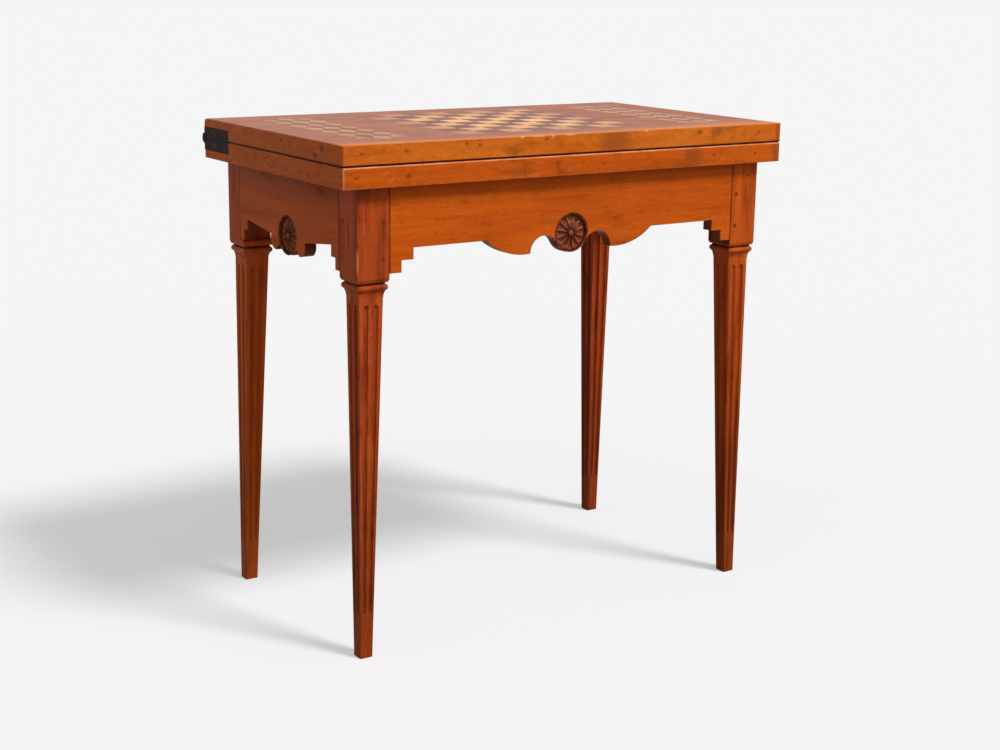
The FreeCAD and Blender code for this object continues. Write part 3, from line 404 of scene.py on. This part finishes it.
def lower_marks(recipe, colour):
    """Knots and dark clouds on the front edge of the lower leaf; a painted highlight runs along its
    upper arris, and its lower arris is rubbed bare."""
    colour = end_fibres(recipe, colour, lower_high.x)
    front = spots(recipe, colour, recipe.x, recipe.z, LOWER_CLOUDS, CLOUD, 0.6)
    front = spots(recipe, front, recipe.x, recipe.z, LOWER_KNOTS, BRUISE, 0.6)
    highlit_edge = recipe.z.rise(lower_high.z - 0.0026, lower_high.z - 0.0012)
    lower_edge = recipe.z.rise(lower_low.z + 0.0020, lower_low.z + 0.0006)
    broken = recipe.noise(recipe.place, 40, 4, 0.6).rise(0.30, 0.60)
    # Painted highlight along the upper arris of the lower leaf's front
    front = recipe.mix(highlit_edge * (0.30 + broken * 0.5), front, BARE_AND_HIGHLIGHT[2])
    front = recipe.mix(lower_edge * broken * 0.5, front, BARE_AND_HIGHLIGHT[1])
    return recipe.mix(on_face(recipe.y, lower_low.y), colour, front), 0.0


def leg_tones(recipe, colour):
    """Legs are lightest at the front right post and darken down their shafts, the rear left one
    less; all carry long dark streaks, and the groove under each post is painted dark as shade."""
    right_leg = recipe.x.rise(*TO_RIGHT) * recipe.y.rise(*TO_FRONT)
    fresher = right_leg * (0.35 + recipe.z.rise(POST_FOOT_Z - POST_BLEND, POST_FOOT_Z) * 0.55)
    fresh = recipe.noise(recipe.scaled(GRAIN["z"], (0.4, 1.1, 0.9)), 80, 4, 0.6)
    dark, middle, light = AMBER
    amber = recipe.ramp(fresh, (0.32, dark), (0.50, middle), (0.66, light))
    colour = recipe.mix(fresher, colour, amber)
    runs = recipe.noise(recipe.scaled((1, 1, 0.10)), 74, 4, 0.6)
    colour = recipe.shade(colour, runs.rise(0.52, 0.68) * 0.7, 0.45)
    colour = recipe.mix(runs.rise(0.46, 0.32) * 0.4, colour, ORANGE[2])
    front_face = on_face(recipe.y, leg_low.y)
    colour = recipe.shade(colour, front_face * recipe.x.rise(*TO_LEFT), 0.88)
    colour = recipe.shade(colour, recipe.z.rise(*DOWN_SHAFT), 0.52)
    above_collar = recipe.z.rise(COLLAR_TOP_Z - 0.0020, COLLAR_TOP_Z)
    groove_shade = above_collar * recipe.z.rise(POST_FOOT_Z + 0.0010, POST_FOOT_Z)
    # Painted shade in the groove between post and collar
    colour = recipe.shade(colour, groove_shade * 0.85, 0.15)
    rear_left = recipe.x.rise(*TO_LEFT) * recipe.y.rise(*TO_REAR)
    rear_shaft = rear_left * recipe.z.rise(POST_FOOT_Z, POST_FOOT_Z - POST_BLEND)
    colour = recipe.mix(rear_shaft * 0.25, colour, ORANGE[2])
    front = spots(recipe, colour, recipe.x, recipe.z, [POST_HOLE], BRUISE, 0.9)
    front = spots(recipe, front, recipe.x, recipe.z, [RUBBED_CORNER], BARE_AND_HIGHLIGHT[1], 0.7)
    colour = recipe.mix(front_face, colour, front)
    colour = seam(recipe, colour, abs(recipe.x), -leg_high.x)
    return seam(recipe, colour, recipe.y, leg_high.y), 0.0


def carved_tones(recipe, colour):
    """Ridges of the carving (value 1) get a painted highlight, its sunk rings (value 0) painted
    shade.
    """
    wear = recipe.node("ShaderNodeAttribute", {"attribute_name": "wear"}, {}, "Fac")
    colour = recipe.mix(wear.rise(0.5, 0.0) * 0.9, colour, PAINTED_SHADE)
    return recipe.mix(wear.rise(0.6, 1.0) * 0.75, colour, BARE_AND_HIGHLIGHT[1]), 0.0


def veneer(name, tones, cell, faded=None):
    """Inlay: each piece has its own tone and a dark glue line; faded is the colour that outer
    squares, and the tips of the lozenges at the corners of a band, wear to."""
    material, recipe = new_material(name)
    if cell == "square":
        across = (recipe.x - board_low.x) / SQUARE
        along = (recipe.y - board_low.y) / SQUARE
        size = SQUARE
    else:
        u = (abs(recipe.x) - BAND_X) / LOZENGE_WIDTH
        v = (recipe.y - BOARD_Y) / LOZENGE_LENGTH
        across = u + v + 0.5
        along = u - v + 0.5
        size = LOZENGE_WIDTH * 0.86
    column, row = across.floor(), along.floor()
    half = recipe.x.rise(-0.01, 0.01)
    number = recipe.node("ShaderNodeCombineXYZ", {}, {0: column, 1: row, 2: half})
    chance = recipe.node("ShaderNodeTexWhiteNoise", {}, {"Vector": number})
    grain = recipe.scaled(GRAIN["x"])
    streaks = recipe.noise(grain, 210, 4, 0.6)
    threads = recipe.noise(grain, 1100, 2, 0.5)
    wear = recipe.noise(recipe.place, 34, 4, 0.6)
    dark, middle, light = tones
    tone = (streaks - 0.5) * 0.7 + (threads - 0.5) * 0.25 + (chance - 0.5) * 0.25 + 0.5
    colour = recipe.ramp(tone, (0.25, dark), (0.50, middle), (0.75, light))
    if faded:
        if cell == "square":
            reach = abs(recipe.x).most(abs(recipe.y - BOARD_Y)) + (chance - 0.5) * 0.07
            worn = reach.rise(0.080, 0.165)
        else:
            worn = abs(v).rise(2.97, 3.05) * abs(u).rise(0.4, 0.6)
        colour = recipe.mix(worn * 0.85, colour, faded)
    colour = recipe.shade(colour, wear.rise(0.50, 0.72) * 0.6, 0.62)
    near_column = abs(across - column - 0.5)
    near_row = abs(along - row - 0.5)
    glue = near_column.most(near_row).rise(0.5 - 0.0010 / size, 0.5 - 0.0003 / size)
    colour = recipe.shade(colour, glue * 0.45, 0.30)
    relief = streaks + wear * 2 - glue * 2
    return finish(material, recipe, Base_Color=colour, Roughness=0.30 + wear * 0.12,
                  Normal=recipe.bump(relief, 0.2, 0.0005), Specular_IOR_Level=WOOD_SHEEN,
                  Coat_Weight=0.05, Coat_Roughness=WAX_ROUGHNESS)


def blackened_iron(name, rubbed):
    """Scaly iron with a bloom of rust, rubbed brighter by a share."""
    material, recipe = new_material(name)
    scale = recipe.noise(recipe.place, 320, 5, 0.65)
    bloom = recipe.noise(recipe.place, 70, 4, 0.6).rise(0.48, 0.72)
    colour = recipe.mix(scale, *IRON)
    colour = recipe.mix(bloom * 0.7, colour, RUST)
    colour = recipe.mix(scale.rise(0.25, 0.65) * rubbed, colour, FILED_IRON)
    return finish(material, recipe, Base_Color=colour, Metallic=0.1, Roughness=0.50 + scale * 0.3,
                  Normal=recipe.bump(scale, 0.6, 0.0007), Specular_IOR_Level=0.06)


def bare_pine():
    material, recipe = new_material("bare_pine")
    rings = recipe.noise(recipe.scaled(GRAIN["x"]), 120, 4, 0.6)
    colour = recipe.ramp(rings, (0.3, PINE[0]), (0.7, PINE[1]))
    return finish(material, recipe, Base_Color=colour, Roughness=0.72 + rings * 0.1,
                  Normal=recipe.bump(rings, 0.3, 0.0006))


# Modelling
# Distances within which corners are one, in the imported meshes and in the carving, or lie on a face
WELD = 0.00001
CARVING_WELD = 0.00005
FLUSH = 0.0001
LONG_EDGE = 0.03
# Angles between faces: still flat, a bend in a hollow, and an arris to ease
FLAT = math.radians(0.4)
BEND = math.radians(3)
SHARP = math.radians(40)


def focus(*pieces):
    bpy.ops.object.select_all(action="DESELECT")
    for piece in pieces:
        piece.select_set(True)
    bpy.context.view_layer.objects.active = pieces[0]


def finished(piece, modifier):
    focus(piece)
    bpy.ops.object.modifier_apply(modifier=modifier)


def stand_for(piece, node):
    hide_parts(node)
    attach(piece, body_of_node[node])


def copied(piece, name, move):
    """Copy with its own mesh, moved in its mesh."""
    copy = bpy.data.objects.new(name, piece.data.copy())
    bpy.context.scene.collection.objects.link(copy)
    copy.data.transform(move)
    return copy


def joined(name, pieces):
    focus(*pieces)
    bpy.ops.object.join()
    pieces[0].name = name
    return pieces[0]


def hollowed(piece, tool):
    """The tool's shape is cut out of the piece, and the tool is used up."""
    cut = piece.modifiers.new("hollow", "BOOLEAN")
    cut.operation = "DIFFERENCE"
    cut.use_self = True
    cut.object = tool
    finished(piece, "hollow")
    bpy.data.objects.remove(tool)


def at(value, limit):
    return abs(value - limit) < FLUSH


def outline(edge, low, high):
    """Edges along the outer box of a piece."""
    flush = 0
    for axis in range(3):
        for limit in (low[axis], high[axis]):
            flush += all(at(corner.co[axis], limit) for corner in edge.verts)
    return flush > 1


def outer_face(axis, side):
    """Edges of the face at the low (0) or high (1) end of an axis."""
    return lambda edge, *box: all(at(corner.co[axis], box[side][axis]) for corner in edge.verts)


def long_arris(edge, low, high):
    """Long upright corners between flat faces."""
    upright = all(max(abs(face.normal.x), abs(face.normal.y)) > 0.95 for face in edge.link_faces)
    return upright and edge.calc_length() > LONG_EDGE


def any_arris(edge, low, high):
    return True


def mark_hollows_for_shade(piece):
    """Attribute hollow: 1 at corners in flutes, coves and grooves, where every bend is inward."""
    shape = bmesh.new()
    shape.from_mesh(piece.data)
    hollow = piece.data.attributes.new("hollow", "FLOAT", "POINT")
    for corner, value in zip(shape.verts, hollow.data):
        bent = [edge for edge in corner.link_edges if edge.calc_face_angle(0) > BEND]
        value.value = float(bool(bent) and not any(edge.is_convex for edge in bent))
    shape.free()


def softened(node, materials, chosen, width, split=None):
    """A node's solid as a maker leaves it: chosen sharp arrises are eased to a width, with the last
    material along them. A plane through a sunk panel, as a point and a normal, parts the face
    round it."""
    piece = copied(nodes[node], f"{node}_eased", Matrix())
    piece.data.materials.clear()
    for material in materials:
        piece.data.materials.append(material)
    focus(piece)
    bpy.ops.object.mode_set(mode="EDIT")
    bpy.ops.mesh.select_mode(type="EDGE")
    bpy.ops.mesh.select_all(action="SELECT")
    bpy.ops.mesh.remove_doubles(threshold=WELD)
    if split:
        bpy.ops.mesh.bisect(plane_co=split[0], plane_no=split[1])
        bpy.ops.mesh.mark_seam()
        bpy.ops.mesh.select_all(action="SELECT")
    bpy.ops.mesh.dissolve_limited(angle_limit=FLAT, delimit={"SEAM"})
    bpy.ops.mesh.select_all(action="DESELECT")
    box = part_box(node)
    shape = bmesh.from_edit_mesh(piece.data)
    for edge in shape.edges:
        arris = edge.is_convex and edge.calc_face_angle() > SHARP
        edge.select_set(arris and chosen(edge, *box))
    bmesh.update_edit_mesh(piece.data)
    bpy.ops.mesh.bevel(offset=width, segments=2, loop_slide=False,
                       clamp_overlap=chosen is any_arris, material=len(materials) - 1)
    bpy.ops.object.mode_set(mode="OBJECT")
    mark_hollows_for_shade(piece)
    bpy.ops.object.shade_smooth_by_angle(angle=math.radians(35))
    piece.modifiers.new("even_faces", "WEIGHTED_NORMAL").keep_sharp = True
    finished(piece, "even_faces")
    stand_for(piece, node)


def dress(node, material):
    """New material on a node whose shape stays."""
    nodes[node].data.materials.clear()
    nodes[node].data.materials.append(material)


# Carved rosettes
PETALS = 12
ROSETTE_RADIUS = 0.0293
ROSETTE_DEPTH = 0.0065
ROSETTE_FRONT = -0.00665
# Insets of the rosette's front from its rim to the crown of its boss, each with its rise towards
# the viewer
ROSETTE_STEPS = ((0.0006, 0), (0.0012, -0.0042), (0.0008, 0), (0.0047, 0.0012), (0.0080, 0.0012),
                 (0.0085, 0.0008), (0.0010, -0.0008), (0.0008, 0.0010), (0.0016, 0.0005),
                 (0.0010, 0.0001))
# Ends of a petal's gouge: distance from the middle of the flower, depth of its axis, half its width
GOUGE_INNER = (0.0052, 0.0010, 0.0010)
GOUGE_OUTER = (0.0210, 0.0029, 0.0053)
GOUGE_SHAPE = (1, 0.55, 1)
# Radii of the sunk rings inside the rim and round the boss, which get painted shade, and the width
# of a ridge between petals, which gets a painted highlight, as a share of a petal
RIM_RING = (0.0262, 0.0285)
BOSS_RING = (0.0040, 0.0056)
# Value on the boss, which gives it a weaker painted highlight than the ridges
BOSS_HIGHLIGHT = 0.72
RIDGE = 0.12


def rosette():
    """Round carved flower facing -Y with its back just off y = 0: a sunk dome with gouged petals
    round a boss."""
    bpy.ops.object.select_all(action="DESELECT")
    bpy.ops.mesh.primitive_cylinder_add(vertices=96, radius=ROSETTE_RADIUS, depth=ROSETTE_DEPTH,
                                        location=(0, ROSETTE_FRONT + ROSETTE_DEPTH / 2, 0),
                                        rotation=(math.radians(90), 0, 0))
    flower = bpy.context.object
    flower.name = "rosette"
    bpy.ops.object.transform_apply(location=True, rotation=True, scale=True)
    bpy.ops.object.mode_set(mode="EDIT")
    bpy.ops.mesh.select_mode(type="FACE")
    bpy.ops.mesh.select_all(action="DESELECT")
    shape = bmesh.from_edit_mesh(flower.data)
    for face in shape.faces:
        face.select_set(face.normal.y < -0.9)
    bmesh.update_edit_mesh(flower.data)
    for inset, rise in ROSETTE_STEPS:
        bpy.ops.mesh.inset(thickness=inset, depth=rise)
    bpy.ops.object.mode_set(mode="OBJECT")
    hollowed(flower, petal_gouges())
    bpy.ops.object.mode_set(mode="EDIT")
    bpy.ops.mesh.select_all(action="SELECT")
    bpy.ops.mesh.remove_doubles(threshold=CARVING_WELD)
    bpy.ops.object.mode_set(mode="OBJECT")
    worn = flower.modifiers.new("worn", "BEVEL")
    worn.width = 0.0005
    worn.segments = 2
    worn.angle_limit = math.radians(30)
    finished(flower, "worn")
    bpy.ops.object.shade_smooth_by_angle(angle=math.radians(45))
    # Painted highlight and painted shade on the carving, set per corner
    wear = flower.data.attributes.new("wear", "FLOAT", "POINT")
    for corner, value in zip(flower.data.vertices, wear.data):
        value.value = carved_light(corner.co)
    flower.data.materials.clear()
    flower.data.materials.append(carved_wood)
    return flower


def carved_light(corner):
    """1 on the ridges between petals, less on the boss, 0.5 in the petals, 0 in the sunk rings
    beside boss and rim: high values give painted highlight, 0 painted shade."""
    radius = math.hypot(corner.x, corner.z)
    if any(inner < radius < outer for inner, outer in (RIM_RING, BOSS_RING)):
        return 0.0
    if radius < BOSS_RING[0]:
        return BOSS_HIGHLIGHT
    from_ridge = abs(math.atan2(corner.x, corner.z) / math.tau * PETALS % 1 - 0.5)
    return 0.5 + 0.5 * max(0, 1 - from_ridge / RIDGE)


def petal_gouges():
    """Hollows round the flower: each widens outwards as a cone and ends in a round."""
    inner, inner_depth, inner_half = GOUGE_INNER
    outer, outer_depth, outer_half = GOUGE_OUTER
    tilt = math.atan2(outer_depth - inner_depth, outer - inner)
    axis_y = ROSETTE_FRONT + (inner_depth + outer_depth) / 2
    bpy.ops.object.select_all(action="DESELECT")
    bpy.ops.mesh.primitive_cone_add(vertices=24, radius1=inner_half, radius2=outer_half,
                                    depth=outer - inner, rotation=(-tilt, 0, 0), scale=GOUGE_SHAPE,
                                    location=(0, axis_y, (inner + outer) / 2))
    gouge = bpy.context.object
    bpy.ops.object.transform_apply(location=True, rotation=True, scale=True)
    bpy.ops.object.select_all(action="DESELECT")
    bpy.ops.mesh.primitive_uv_sphere_add(segments=24, ring_count=12, radius=outer_half,
                                         scale=GOUGE_SHAPE,
                                         location=(0, ROSETTE_FRONT + outer_depth, outer))
    end = bpy.context.object
    bpy.ops.object.transform_apply(location=True, rotation=True, scale=True)
    gouge = joined("gouge", [gouge, end])
    turns = [Matrix.Rotation(math.tau * number / PETALS, 4, "Y") for number in range(1, PETALS)]
    return joined("gouges", [gouge] + [copied(gouge, "gouge", turn) for turn in turns])


def rosettes():
    """The flower in the front apron and a copy in each side apron, seated on the floors of their
    recesses."""
    model = rosette()
    for label, turn in (("front", 0), ("left", -90), ("right", 90)):
        low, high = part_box(f"rosette_{label}")
        middle = (low + high) / 2
        seat = {"front": (middle.x, high.y, middle.z), "left": (high.x, middle.y, middle.z),
                "right": (low.x, middle.y, middle.z)}[label]
        move = Matrix.Translation(seat) @ Matrix.Rotation(math.radians(turn), 4, "Z")
        stand_for(copied(model, f"carved_rosette_{label}", move), f"rosette_{label}")
    bpy.data.objects.remove(model)


def loose_boxes(node):
    """Boxes of the separate solids in a node."""
    copy = copied(nodes[node], "loose", Matrix())
    focus(copy)
    bpy.ops.object.mode_set(mode="EDIT")
    bpy.ops.mesh.select_all(action="SELECT")
    bpy.ops.mesh.remove_doubles(threshold=WELD)
    bpy.ops.mesh.separate(type="LOOSE")
    bpy.ops.object.mode_set(mode="OBJECT")
    boxes = []
    for solid in list(bpy.context.selected_objects):
        corners = [corner.co for corner in solid.data.vertices]
        low = Vector([min(corner[axis] for corner in corners) for axis in range(3)])
        high = Vector([max(corner[axis] for corner in corners) for axis in range(3)])
        boxes.append((low, high))
        bpy.data.objects.remove(solid)
    return boxes


SLOT_SIZE = (0.0018, 0.0100, 0.0010)


def slotted_screws(node, turns):
    """Heads with a filed slot, one for each solid of the node, flush with the hinge plates."""
    heads = []
    for number, (low, high) in enumerate(loose_boxes(node)):
        middle = (low + high) / 2
        bpy.ops.object.select_all(action="DESELECT")
        bpy.ops.mesh.primitive_cylinder_add(vertices=40, radius=(high.z - low.z) / 2,
                                            depth=high.x - low.x, location=middle,
                                            rotation=(0, math.radians(90), 0))
        head = bpy.context.object
        bpy.ops.object.transform_apply(location=True, rotation=True, scale=True)
        face = high.x if middle.x > 0 else low.x
        bpy.ops.object.select_all(action="DESELECT")
        turn = math.radians(turns[number % len(turns)])
        bpy.ops.mesh.primitive_cube_add(size=1, location=(face, middle.y, middle.z),
                                        scale=SLOT_SIZE, rotation=(turn, 0, 0))
        slot = bpy.context.object
        bpy.ops.object.transform_apply(location=True, rotation=True, scale=True)
        hollowed(head, slot)
        heads.append(head)
    piece = joined(f"slotted_{node}", heads)
    piece.data.materials.clear()
    piece.data.materials.append(screw_iron)
    filed = piece.modifiers.new("filed", "BEVEL")
    filed.width = 0.00025
    filed.segments = 2
    finished(piece, "filed")
    bpy.ops.object.shade_smooth_by_angle(angle=math.radians(40))
    stand_for(piece, node)


# Widths of eased arrises
LEAF_EASE = 0.0020
APRON_EASE = 0.0010
LEG_EASE = 0.0012
RAIL_EASE = 0.0008
BLOCK_EASE = 0.0010
SMALL_EASE = 0.0004

iron = blackened_iron("blackened_iron", 0.0)
screw_iron = blackened_iron("rubbed_iron", 0.8)
pine = bare_pine()
upper_wood = timber("upper_wood", "x", HONEY, (1.3, 0.2, 0.4), details=upper_marks)
upper_arris = timber("upper_arris", "x", HONEY, (1.3, 0.2, 0.4), rubbed=0.6, details=leaf_top)
lower_wood = timber("lower_wood", "x", ORANGE, (0.2, 2.2, 0.9), details=lower_marks)
# The lower leaf's eased arrises: pale wood, partly rubbed wear and partly painted highlight
lower_arris_highlight = timber("lower_arris_highlight", "x", BARE_AND_HIGHLIGHT, (0.2, 2.2, 0.9))
apron_wood = timber("apron_wood", "x", ORANGE, (3.1, 0.3, 0.1), blotched=0.35, details=front_joints)
apron_arris = timber("apron_arris", "x", ORANGE, (3.1, 0.3, 0.1), rubbed=0.25, details=front_joints)
side_wood = timber("side_wood", "y", ORANGE, (0.4, 2.6, 0.2), blotched=0.35, details=side_joints)
side_arris = timber("side_arris", "y", ORANGE, (0.4, 2.6, 0.2), rubbed=0.25, details=side_joints)
rail_wood = timber("rail_wood", "x", RUSSET, (1.1, 0.6, 2.4))
leg_wood = timber("leg_wood", "z", RUSSET, (0.7, 0.1, 1.9), details=leg_tones)
leg_arris = timber("leg_arris", "z", RUSSET, (0.7, 0.1, 1.9), rubbed=0.35, details=leg_tones)
peg_wood = timber("peg_wood", "y", CARVED, (0.3, 0.2, 0.6))
carved_wood = timber("carved_wood", "z", CARVED, (0.2, 0.9, 0.1), details=carved_tones)

mid_board = ((0, BOARD_Y, 0), (0, 1, 0))
mid_front = ((0, 0, 0), (1, 0, 0))
mid_side = ((0, (side_low.y + side_high.y) / 2, 0), (0, 1, 0))
softened("upper_leaf", (upper_wood, upper_arris), outline, LEAF_EASE, mid_board)
softened("lower_leaf", (lower_wood, lower_arris_highlight), outline, LEAF_EASE)
softened("front_apron", (apron_wood, apron_arris), outer_face(1, 0), APRON_EASE, mid_front)
softened("left_apron", (side_wood, side_arris), outer_face(0, 0), APRON_EASE, mid_side)
softened("right_apron", (side_wood, side_arris), outer_face(0, 1), APRON_EASE, mid_side)
for corner in ("front_left", "front_right", "rear_left", "rear_right"):
    softened(f"{corner}_leg", (leg_wood, leg_arris), long_arris, LEG_EASE)
for rail in ("inner_back_rail", "outer_back_rail", "fly_rail"):
    softened(rail, (rail_wood,), any_arris, RAIL_EASE)
for pegs in ("tenon_pegs", "swing_leg_pegs"):
    softened(pegs, (peg_wood,), any_arris, SMALL_EASE)
softened("glue_blocks", (pine,), any_arris, BLOCK_EASE)
for side in ("left", "right"):
    for plate in ("lower_hinge_plate", "upper_hinge_plate", "hinge_pin"):
        softened(f"{plate}_{side}", (iron,), any_arris, SMALL_EASE)
slotted_screws("lower_hinge_screws", (20, -50, 75))
slotted_screws("upper_hinge_screws", (-35, 60, 5))
rosettes()
dress("knuckle_pin", iron)
dress("light_squares", veneer("light_square", MAPLE, "square", TAN[0]))
dress("dark_squares", veneer("dark_square", WALNUT, "square", GROUND[0]))
dress("light_lozenges", veneer("light_lozenge", TAN, "lozenge", GROUND[1]))
dress("dark_lozenges", veneer("dark_lozenge", UMBER, "lozenge"))
dress("edge_lozenges", veneer("edge_lozenge", GROUND, "lozenge"))


# Studio
PAPER = 0.880
FLOOR_GLOW = 0.47
FLOOR_SEEN = 0.84
FLOOR_BOUNCE = 0.25
FLOOR_SIZE = 60
FLOOR_Z = -0.0002
BACKDROP = 0.913
# Camera fitted to the photograph: millimetres, metres and degrees
LENS = 60.82
SENSOR = 36
EYE = (-1.4932, -2.2503, 1.0035)
YAW, TILT, ROLL = -33.878, 13.724, 0.875


def studio_floor():
    """Pale paper: white to the camera and in reflections, it keeps the shadow and throws little
    light back."""
    bpy.ops.object.select_all(action="DESELECT")
    bpy.ops.mesh.primitive_plane_add(size=FLOOR_SIZE, location=(0, 0, FLOOR_Z))
    floor = bpy.context.object
    floor.name = "studio_floor"
    material, recipe = new_material("studio_paper")
    seen = recipe.background_rays()
    grain = recipe.noise(recipe.place, 900, 2)
    colour = recipe.mix(seen, grey(FLOOR_BOUNCE), grey(FLOOR_SEEN))
    finish(material, recipe, Base_Color=colour, Roughness=0.85 + grain * 0.1,
           Specular_IOR_Level=0.0)
    shader = Value(recipe, recipe.tree.nodes["Principled BSDF"].outputs[0])
    glow = recipe.node("ShaderNodeEmission", {}, {"Color": grey(PAPER)})
    blend = recipe.node("ShaderNodeMixShader", {}, {0: seen * FLOOR_GLOW, 1: shader, 2: glow})
    recipe.put(recipe.tree.nodes["Material Output"].inputs[0], blend)
    floor.data.materials.append(material)


def lamp(name, energy, azimuth, elevation, spread):
    """Distant soft lamp; azimuth 0 shines from the front and 90 from the right."""
    data = bpy.data.lights.new(name, "SUN")
    data.energy = energy
    data.angle = math.radians(spread)
    light = bpy.data.objects.new(name, data)
    around, above = math.radians(azimuth), math.radians(elevation)
    level = math.cos(above)
    towards = Vector((math.sin(around) * level, -math.cos(around) * level, math.sin(above)))
    light.rotation_euler = towards.to_track_quat("Z", "Y").to_euler()
    bpy.context.scene.collection.objects.link(light)


def sky(strength):
    """Even light from all round, with the backdrop's colour for what the camera and reflections
    see."""
    world = bpy.data.worlds.new("studio")
    bpy.context.scene.world = world
    world.use_nodes = True
    recipe = Recipe(world.node_tree)
    background = world.node_tree.nodes["Background"]
    seen = recipe.background_rays()
    recipe.put(background.inputs["Strength"], seen * (BACKDROP - strength) + strength)
    background.inputs["Color"].default_value = (1, 1, 1, 1)


def camera():
    """Standing eye at the photograph's angle: turned right, tipped down, with a slight roll."""
    data = bpy.data.cameras.new("camera")
    data.lens = LENS
    data.sensor_width = SENSOR
    eye = bpy.data.objects.new("camera", data)
    turn = (Matrix.Rotation(math.radians(YAW), 4, "Z")
            @ Matrix.Rotation(math.radians(90 - TILT), 4, "X")
            @ Matrix.Rotation(math.radians(ROLL), 4, "Z"))
    eye.matrix_world = Matrix.Translation(EYE) @ turn
    bpy.context.scene.collection.objects.link(eye)
    bpy.context.scene.camera = eye


studio_floor()
lamp("key", 2.8, 27, 52, 14)
lamp("front", 1.1, 15, 25, 100)
lamp("fill", 0.34, -80, 35, 60)
sky(0.2)
camera()
bpy.context.scene.view_settings.view_transform = "Standard"
